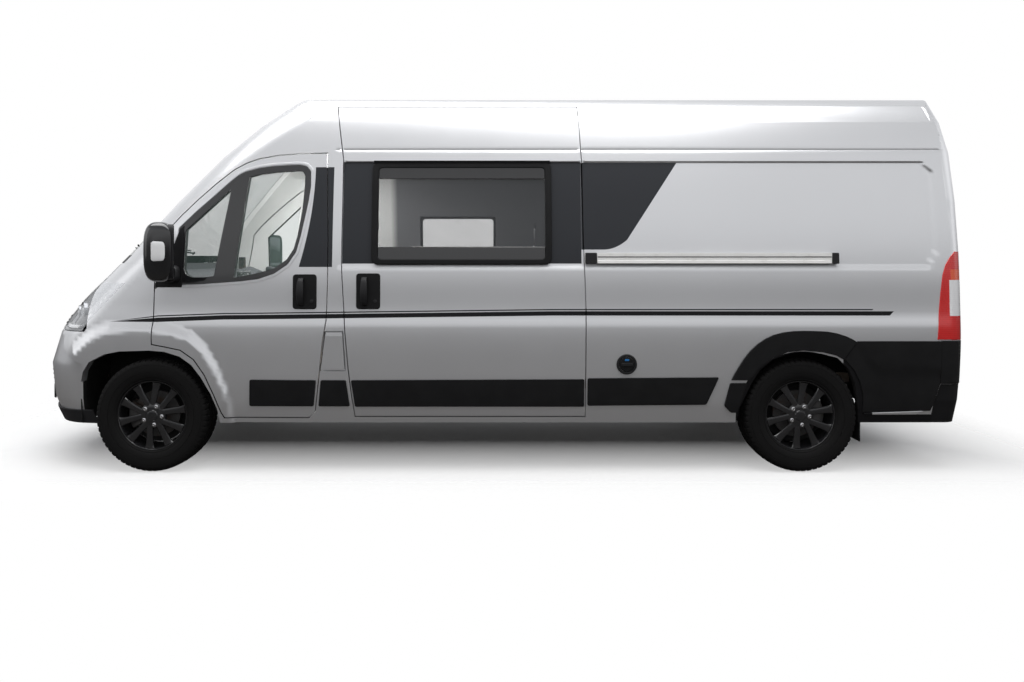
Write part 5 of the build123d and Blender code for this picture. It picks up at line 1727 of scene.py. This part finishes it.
# tail: recessed handle, glass surrounds, lamps, step pads and sensors
tailLook = {
    "handleCut": ((2.975, 0.05, 1.01), (3.02, 0.19, 1.11), 0.01),
    "handleCup": ((2.9752, 0.0515, 1.0115), (2.978, 0.1885, 1.1085)),
    "gripX": 2.979, "gripSwell": 0.013, "gripFrom": 0.0545, "gripLong": 0.131, "gripZ": 1.075,
    "lock": [(0.0, 0.003), (0.008, 0.003), (0.0095, 0.0015), (0.0105, -0.001)],
    "lockAt": (2.9785, 0.08, 1.035),
    "glass": [(0.15, 1.32), (0.69, 1.32), (0.665, 1.96), (0.15, 1.96)],
    "sealOut": 0.006, "sealIn": -0.014, "sealLift": 0.0002, "sealDeep": 0.01,
    "brakeZ": 2.28, "brakeHalf": 0.14, "padStep": 0.135,
    "sensor": [(0.0, 0.0012), (0.009, 0.001), (0.011, 0.0002), (0.012, -0.002)],
    "sensorY": (-0.66, -0.24, 0.24, 0.66), "sensorX": 2.996, "sensorZ": 0.455,
}


def tailX(z):
    return float(planAt(z)["tail"])


def carve(obj, low, high, r):
    # takes a block out of a piece
    v, f = block(low, high, r, 3)
    tool = makeObject("cutter", v, f, obj.data.materials[0], None, 30)
    cutting = obj.modifiers.new("cut", "BOOLEAN")
    cutting.operation = "DIFFERENCE"
    cutting.solver = "EXACT"
    cutting.object = tool
    bake(obj)
    bpy.data.objects.remove(tool)
    shade(obj.data, 24)


def tailHandle():
    look = tailLook
    carve(bpy.data.objects["rear_door_right_finished"], *look["handleCut"])
    gather("tail_handle_cup", [block(*look["handleCup"], 0.001, 1)], blackPlastic, "rear_door_right")
    rings = []
    for t in np.linspace(0, 1, 13):
        out = look["gripX"] + look["gripSwell"] * math.sin(math.pi * t) ** 0.4
        ring = superRing(0, 0, 0.0055, 0.015, 3.0, 20)
        rings.append([(out + a, look["gripFrom"] + look["gripLong"] * t, look["gripZ"] + b) for a, b in ring])
    gather("tail_handle_grip", [loft(rings)], glossBlack, "rear_door_right", 40.0)
    gather("tail_lock", [turnedAlong(look["lock"], look["lockAt"], (1, 0, 0), 24)], chrome, "rear_door_right")


def tailSeal(label, side):
    # black surround of the tail glass
    look = tailLook
    outer = dense(rounded(grow(look["glass"], look["sealOut"]), 0.03, 6), 0.05)
    inner = dense(rounded(grow(look["glass"], look["sealIn"]), 0.024, 6), 0.05)
    flat, tris = fill([outer, inner], np.array([]), np.array([]))
    out = np.array([tailX(z) + look["sealLift"] for z in flat[:, 1]])
    front = np.stack([out, side * flat[:, 0], flat[:, 1]], 1)
    back = front - np.array([look["sealDeep"], 0, 0])
    n = len(front)
    faces = [tuple(t) for t in tris] + [tuple(t + n)[::-1] for t in tris]
    start = 0
    for loop in (outer, inner):
        m = len(loop)
        faces += [(start + i, start + (i + 1) % m, n + start + (i + 1) % m, n + start + i) for i in range(m)]
        start += m
    gather("tail_glass_seal_" + label, [(np.concatenate([front, back]), faces)], sealRubber,
           "rear_door_" + label)


tailHandle()
for label, side in sides:
    tailSeal(label, side)
high, half = tailX(tailLook["brakeZ"]), tailLook["brakeHalf"]
gather("high_brake_lamp", [block((high - 0.004, -half, 2.258), (high + 0.006, half, 2.278), 0.003, 3)],
       redLens)
gather("tail_door_seal", [block((2.935, -0.006, 0.59), (2.962, 0.006, 2.2), 0.002, 2)], sealRubber,
       "rear_door_right")
pads, sensors = [], []
for k in range(9):
    y = k * tailLook["padStep"]
    pads.append(block((2.915, -0.6 + y, 0.552), (2.975, -0.48 + y, 0.556), 0.0015, 2))
for y in tailLook["sensorY"]:
    spot = (tailLook["sensorX"], y, tailLook["sensorZ"])
    sensors.append(turnedAlong(tailLook["sensor"], spot, (1, 0, 0), 24))
gather("bumper_step_pads", pads, blackPlastic)
gather("parking_sensors", sensors, blackPlastic)
print("tail ready")


# cushions: blown up a little inside their covers, with the sewn lines pulled in
cushionLook = {"frames": 20, "quality": 4, "mass": 0.4, "pressure": 4.0, "stretch": 25.0, "shear": 10.0,
               "bend": 1.5, "cap": 0.007, "finest": 0.01, "steps": 90, "fill": 0.6}


def blownUp(obj):
    # where the cover's points go under the pressure
    look = cushionLook
    cloth = obj.modifiers.new("cloth", "CLOTH")
    s = cloth.settings
    s.quality = look["quality"]
    s.mass = look["mass"]
    s.use_pressure = True
    s.uniform_pressure_force = look["pressure"]
    s.tension_stiffness = s.compression_stiffness = look["stretch"]
    s.shear_stiffness = look["shear"]
    s.bending_stiffness = look["bend"]
    s.effector_weights.gravity = 0.0
    scene = bpy.context.scene
    scene.frame_start, scene.frame_end = 1, look["frames"]
    cloth.point_cache.frame_start, cloth.point_cache.frame_end = 1, look["frames"]
    for k in range(1, look["frames"] + 1):
        scene.frame_set(k)
    bake(obj)
    after = pointsOf(obj.data)
    scene.frame_set(1)
    return after


def cushionForm(name, rings, seams, finish):
    look = cushionLook
    v, f = loft(rings)
    obj = makeObject(name, v, f, finish, None, 180)
    tidyMesh(obj, 180)
    remesh = obj.modifiers.new("even", "REMESH")
    remesh.mode = "VOXEL"
    remesh.voxel_size = max(look["finest"], np.ptp(pointsOf(obj.data), axis=0).max() / look["steps"])
    bake(obj)
    before = pointsOf(obj.data)
    move = blownUp(obj) - before
    size = np.linalg.norm(move, axis=1)
    after = before + move * np.minimum(1.0, look["cap"] / np.maximum(size, 1e-9))[:, None]
    for axis, place, wide, deep in seams:
        pull = np.exp(-((after[:, axis] - place) / wide) ** 2) * deep
        toward = after.mean(0) - after
        toward[:, axis] = 0.0
        length = np.maximum(np.linalg.norm(toward, axis=1), 1e-6)
        after += toward / length[:, None] * pull[:, None]
    obj.data.vertices.foreach_set("co", after.ravel())
    obj.data.update()
    fine = obj.modifiers.new("soft", "SUBSURF")
    fine.levels = fine.render_levels = 1
    bake(obj)
    obj.data.shade_smooth()
    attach(obj, "van_body")
    return obj


def upright(rows, middle, half, power, count):
    # level sections from rows of height, x, depth and width
    rings = []
    for z, x, deep, wide in rows:
        rings.append([(a, b, z) for a, b in superRing(x, middle, deep, half * wide, power, count)])
    return rings


def lying(rows, middle, half, power, count):
    # upright sections from rows of x, low and high edge and width
    rings = []
    for x, low, high, wide in rows:
        ring = superRing(middle, (low + high) / 2, half * wide, (high - low) / 2, power, count)
        rings.append([(x, a, b) for a, b in ring])
    return rings


seatLook = {
    "middle": 0.42, "half": 0.243, "seam": 0.145, "postX": (-0.898, -0.893), "postY": 0.05,
    "cushion": ((-1.496, 0.88, 0.945, 0.8), (-1.485, 0.862, 0.968, 0.93), (-1.44, 0.85, 0.985, 0.98),
                (-1.34, 0.846, 0.992, 1.0), (-1.22, 0.842, 0.99, 1.0), (-1.12, 0.842, 0.992, 0.99),
                (-1.06, 0.85, 0.99, 0.97), (-1.03, 0.87, 0.975, 0.9)),
    "back": ((0.985, -1.055, 0.055, 0.86), (1.01, -1.05, 0.066, 0.96), (1.09, -1.034, 0.07, 1.0),
             (1.2, -1.008, 0.066, 1.0), (1.31, -0.975, 0.06, 0.98), (1.4, -0.947, 0.054, 0.93),
             (1.46, -0.929, 0.047, 0.84), (1.492, -0.919, 0.034, 0.7), (1.502, -0.915, 0.018, 0.55)),
    "rest": ((1.528, -0.894, 0.028, 0.088), (1.534, -0.893, 0.038, 0.106), (1.57, -0.89, 0.042, 0.114),
             (1.62, -0.888, 0.041, 0.112), (1.66, -0.886, 0.035, 0.1), (1.676, -0.886, 0.024, 0.082)),
}


def cabSeat(label, side):
    look = seatLook
    y, half = side * look["middle"], look["half"]
    sewn = ((1, y - look["seam"], 0.01, 0.01), (1, y + look["seam"], 0.01, 0.01))
    base = cushionForm("seat_cushion_" + label, lying(look["cushion"], y, half, 3.2, 40),
                       sewn + ((0, -1.3, 0.008, 0.006),), seatCloth)
    cushionForm("seat_back_" + label, upright(look["back"], y, half, 3.0, 40),
                sewn + ((2, 1.26, 0.008, 0.007),), seatCloth)
    cushionForm("head_rest_" + label, upright(look["rest"], y, 1.0, 2.8, 32), (), seatCloth)
    low, high = look["postX"]
    posts = [tube([(low, y + d, 1.48), (high, y + d, 1.535)], 0.006, 12)
             for d in (-look["postY"], look["postY"])]
    gather("head_rest_posts_" + label, posts, chrome, smooth=50.0)
    # plinth with its two side covers
    parts = [block((-1.44, y - 0.18, 0.581), (-1.08, y + 0.18, 0.842), 0.012, 3),
             block((-1.47, y - 0.205, 0.79), (-1.04, y - 0.186, 0.85), 0.008, 3),
             block((-1.47, y + 0.186, 0.79), (-1.04, y + 0.205, 0.85), 0.008, 3)]
    gather("seat_plinth_" + label, parts, cabPlastic)
    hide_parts("cab_seats")


for label, side in sides:
    cabSeat(label, side)
print("cab seats ready")


# dashboard details, gear lever and steering wheel
dashLook = {"vents": ((-0.78, -0.62), (-0.12, 0.02), (0.06, 0.2), (0.64, 0.79)), "slat": 0.014,
            "podFrom": 0.27, "podLong": 0.3, "podSwell": 0.03,
            "lever": [(-1.735, 0.115, 0.985), (-1.705, 0.118, 1.015), (-1.68, 0.12, 1.06)],
            "knob": [(0.0, 0.034), (0.014, 0.03), (0.022, 0.014), (0.021, 0.0), (0.012, -0.01)],
            "wheelAt": (-1.56, 0.42, 1.16), "wheelAxis": (0.5, 0.0, 0.8660254),
            "pad": [(0.0, 0.0265), (0.04, 0.025), (0.062, 0.02), (0.072, 0.01), (0.072, -0.012),
                    (0.045, -0.026)]}


def dashboard():
    look = dashLook
    slats = []
    for y0, y1 in look["vents"]:
        for k in range(4):
            z = k * look["slat"]
            slats.append(block((-1.772, y0, 1.07 + z), (-1.75, y1, 1.076 + z), 0.001, 1))
    gather("dash_vents", slats, blackPlastic)
    pod = []
    for t in np.linspace(0, 1, 9):
        y = look["podFrom"] + look["podLong"] * t
        lift = look["podSwell"] * math.sin(math.pi * t) ** 0.5
        pod.append([(-1.905, y, 1.185), (-1.905, y, 1.225 + lift), (-1.87, y, 1.235 + lift),
                    (-1.8, y, 1.205 + lift), (-1.78, y, 1.165), (-1.8, y, 1.15)])
    gather("instrument_pod", [loft(pod)], cabPlastic, smooth=50.0)
    gather("centre_screen", [block((-1.805, -0.115, 1.105), (-1.775, 0.145, 1.235), 0.008, 3)], glossBlack)
    parts = [block((-1.752, -0.7, 0.93), (-1.728, -0.24, 1.02), 0.012, 3),
             block((-1.752, -0.08, 0.905), (-1.722, 0.16, 1.01), 0.012, 3)]
    gather("glove_box_and_console", parts, palePlastic)
    knob = turnedAlong(look["knob"], (-1.678, 0.12, 1.062), (0.35, 0, 0.94), 24)
    gather("gear_lever", [tube(look["lever"], [0.01, 0.008, 0.009], 14), knob], blackPlastic, smooth=50.0)
    axis = Vector(look["wheelAxis"]).normalized()
    gather("air_bag_pad", [turnedAlong(look["pad"], look["wheelAt"], tuple(axis), 48)], cabPlastic,
           "steering_wheel", 40.0)


dashboard()
copied("steering_wheel", cabPlastic, 40.0)
print("cab ready")


# door cards and arm rests
doorCard = [(-1.87, 0.85), (-1.825, 0.835), (-1.725, 0.765), (-1.65, 0.655), (-1.585, 0.5),
            (-1.11, 0.45), (-1.075, 0.62), (-1.045, 0.82), (-1.03, 1.15), (-1.25, 1.16),
            (-1.54, 1.15), (-1.87, 1.14)]
armRest = quad(-1.72, -1.18, 0.9, 0.975)
for label, side in sides:
    door = "front_door_" + label
    drape("door_card_" + label, rounded(doorCard, 0.03, 4), -0.058, palePlastic, door, side=side,
          foot=-0.0458, round_=-0.003, plain=True, toward=(0, -side, 0))
    drape("door_arm_rest_" + label, rounded(armRest, 0.02, 4), -0.08, cabPlastic, door, side=side,
          foot=-0.057, round_=-0.006, plain=True, toward=(0, -side, 0))
print("linings ready")


# living space: cupboards, worktop, sink, bed
kitchenLook = {
    # x from and to of each stack, with the low and high edges of its fronts
    "stacks": ((-0.552, -0.14, ((0.63, 0.98), (0.988, 1.35))),
               (-0.132, 0.28, ((0.63, 0.86), (0.868, 1.105), (1.113, 1.35))),
               (0.288, 0.692, ((0.63, 1.35),))), "pullHalf": 0.055, "pullLow": 0.05, "pullHigh": 0.036,
    "sink": [(0.168, 0.0275), (0.172, 0.0265), (0.166, 0.0245), (0.15, 0.026), (0.13, 0.0255),
             (0.0, 0.0255)], "tap": [(0.42, 0.86, 1.424), (0.42, 0.86, 1.56), (0.42, 0.845, 1.6),
                                     (0.42, 0.8, 1.618), (0.42, 0.755, 1.612), (0.42, 0.735, 1.59)],
    "tapFoot": [(0.0, 0.0), (0.024, 0.0), (0.022, 0.012), (0.012, 0.016)],
}
bedLook = {
    "half": 0.664,
    "rows": ((1.466, 1.118, 1.202, 0.975), (1.476, 1.106, 1.214, 0.992), (1.52, 1.1015, 1.2185, 1.0),
             (1.85, 1.1012, 1.219, 1.0), (2.2, 1.1012, 1.219, 1.0), (2.55, 1.1012, 1.219, 1.0),
             (2.83, 1.1015, 1.2185, 1.0), (2.864, 1.106, 1.214, 0.992), (2.874, 1.118, 1.202, 0.975)),
}


def kitchen():
    look = kitchenLook
    fronts, pulls = [], []
    for x0, x1, rows in look["stacks"]:
        middle = (x0 + x1) / 2
        for z0, z1 in rows:
            fronts.append(block((x0, 0.405, z0), (x1, 0.4195, z1), 0.003, 2))
            pulls.append(block((middle - look["pullHalf"], 0.3965, z1 - look["pullLow"]),
                               (middle + look["pullHalf"], 0.4055, z1 - look["pullHigh"]), 0.003, 2))
    gather("cupboard_fronts", fronts, cabinetPale)
    gather("cupboard_pulls", pulls, chrome)
    gather("worktop", [block((-0.575, 0.4, 1.3995), (0.715, 0.94, 1.4245), 0.005, 3)], cabinetWood)
    gather("sink_rim", [turnedAlong(look["sink"], (0.42, 0.66, 1.4), (0, 0, 1), 48)], chrome)
    foot = turnedAlong(look["tapFoot"], look["tap"][0], (0, 0, 1), 24)
    gather("sink_tap", [tube(look["tap"], 0.01, 16), foot], chrome, smooth=50.0)


kitchen()
bed = cushionForm("bed_mattress", lying(bedLook["rows"], 0.0, bedLook["half"], 7.0, 64), (), mattressCloth)
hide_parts("mattress")
print("living space ready")


# liner that closes the arch ahead of the front wheel, and mud flaps behind the rear ones
linerLine = [(-2.516, 0.3), (-2.519, 0.45), (-2.514, 0.57), (-2.498, 0.64), (-2.46, 0.7),
             (-2.4, 0.742), (-2.33, 0.775)]
for label, side in sides:
    rings = []
    for y in (0.6, 0.7, 0.8, 0.88, 0.925):
        back = [(a - 0.006, side * y, b + 0.003) for a, b in linerLine[::-1]]
        rings.append([(a, side * y, b) for a, b in linerLine] + back)
    gather("arch_liner_" + label, [loft(rings)], underPlastic, smooth=50.0)
for label, side in sides:
    near, far = sorted((side * 0.8, side * 0.985))
    gather("mud_flap_" + label, [block((2.352, near, 0.19), (2.358, far, 0.42), 0.002, 2)], sealRubber)
print("underbody ready")


cameraLook = {"place": (0.084, -5.99, 1.333), "focalPixels": 804.0, "centre": (495.0, 258.0),
              "frame": (1024, 682)}


def makeCamera():
    data = bpy.data.cameras.new("viewCamera")
    data.sensor_width = 36.0
    width, height = cameraLook["frame"]
    data.lens = cameraLook["focalPixels"] * data.sensor_width / width
    cx, cy = cameraLook["centre"]
    data.shift_x = (width / 2 - cx) / width
    data.shift_y = (cy - height / 2) / width
    cam = bpy.data.objects.new("viewCamera", data)
    cam.location = cameraLook["place"]
    cam.rotation_euler = (math.radians(90), 0, 0)
    bpy.context.collection.objects.link(cam)
    bpy.context.scene.camera = cam


def addLamp(name, place, target, size, power):
    data = bpy.data.lights.new(name, "AREA")
    data.shape = "RECTANGLE"
    data.size, data.size_y = size
    data.energy = power
    lamp = bpy.data.objects.new(name, data)
    lamp.location = place
    lamp.rotation_euler = (Vector(target) - Vector(place)).to_track_quat("-Z", "Y").to_euler()
    bpy.context.collection.objects.link(lamp)


lightLook = {"world": 0.55, "top": 530.0, "front": 24.0, "back": 16.0, "cab": 30.0, "living": 2.0}


def makeStudio():
    world = bpy.data.worlds.new("studioWorld")
    bpy.context.scene.world = world
    world.use_nodes = True
    tree = world.node_tree
    back = tree.nodes["Background"]
    path = tree.nodes.new("ShaderNodeLightPath")
    white = tree.nodes.new("ShaderNodeBackground")
    white.inputs["Color"].default_value = (1, 1, 1, 1)
    white.inputs["Strength"].default_value = 1.0
    # brighter a little above the horizon, as over a line of lamps
    spot = tree.nodes.new("ShaderNodeTexCoord")
    parts = tree.nodes.new("ShaderNodeSeparateXYZ")
    ramp = tree.nodes.new("ShaderNodeValToRGB")
    tree.links.new(spot.outputs["Generated"], parts.inputs[0])
    tree.links.new(parts.outputs[2], ramp.inputs[0])
    stops = ((0.0, 0.28), (0.035, 0.68), (0.11, 1.5), (0.3, 1.68), (0.62, 1.02))
    while len(ramp.color_ramp.elements) < len(stops):
        ramp.color_ramp.elements.new(0.5)
    for element, (place, level) in zip(ramp.color_ramp.elements, stops):
        element.position = place
        element.color = (level * 0.97, level * 0.98, level, 1.0)
    tree.links.new(ramp.outputs[0], back.inputs["Color"])
    back.inputs["Strength"].default_value = lightLook["world"]
    mixer = tree.nodes.new("ShaderNodeMixShader")
    most = tree.nodes.new("ShaderNodeMath")
    most.operation = "MAXIMUM"
    tree.links.new(path.outputs["Is Camera Ray"], most.inputs[0])
    tree.links.new(path.outputs["Is Transmission Ray"], most.inputs[1])
    tree.links.new(most.outputs[0], mixer.inputs[0])
    tree.links.new(back.outputs[0], mixer.inputs[1])
    tree.links.new(white.outputs[0], mixer.inputs[2])
    tree.links.new(mixer.outputs[0], tree.nodes["World Output"].inputs["Surface"])
    addLamp("topSoftbox", (-1.0, -1.4, 6.5), (-0.3, 0.0, 1.0), (10.0, 4.5), lightLook["top"])
    addLamp("cabLight", (-1.25, 0.0, 2.1), (-1.25, 0.0, 1.0), (0.6, 1.0), lightLook["cab"])
    addLamp("livingLight", (0.3, 0.0, 2.24), (0.3, 0.0, 1.0), (1.6, 0.8), lightLook["living"])
    addLamp("noseSoftbox", (-8.0, -3.0, 3.2), (-2.0, 0.0, 1.0), (3.0, 4.0), lightLook["front"])
    addLamp("tailSoftbox", (8.0, -2.0, 3.0), (2.0, 0.0, 1.0), (3.0, 4.0), lightLook["back"])


def makeFloor():
    mesh = bpy.data.meshes.new("studioFloor")
    bm = bmesh.new()
    bmesh.ops.create_grid(bm, x_segments=8, y_segments=8, size=60.0)
    bm.to_mesh(mesh)
    bm.free()
    floor = bpy.data.objects.new("studioFloor", mesh)
    bpy.context.collection.objects.link(floor)
    f = Finish("studioFloorFinish", roughness=0.95)
    x, y, z, spot = f.position()
    # pale where the lamps fall on it, darker in what the paint reflects, mixed towards white from just under
    # the van's near side, which is painted light that thins its shadow, and gone at a distance
    path = f.add("ShaderNodeLightPath", out="Is Camera Ray")
    f.set(Base_Color=f.mix(path, (0.085, 0.08, 0.076), (0.8, 0.8, 0.8)))
    f.surface.inputs["Specular IOR Level"].default_value = 0.1
    # painted light: from just under the near side, and past the ends, the floor is mixed towards white, which
    # thins the van's shadow
    toFront = ((y + 0.12) * -0.66).calc("MAXIMUM", 0.0)
    toEnds = ((x.calc("ABSOLUTE") - 3.0) * 0.9).calc("MAXIMUM", 0.0)
    toBack = ((y - 1.7) * 0.6).calc("MAXIMUM", 0.0)
    shadowFade = toFront.either(toEnds).either(toBack).calc("MINIMUM", 1.0)
    f.mixShaders(shadowFade * path, f.tree.nodes.new("ShaderNodeBsdfTransparent"))
    mesh.materials.append(f.material)


makeCamera()
makeStudio()
makeFloor()
bpy.context.scene.view_settings.view_transform = "Standard"
print("camera, lamps and floor ready")
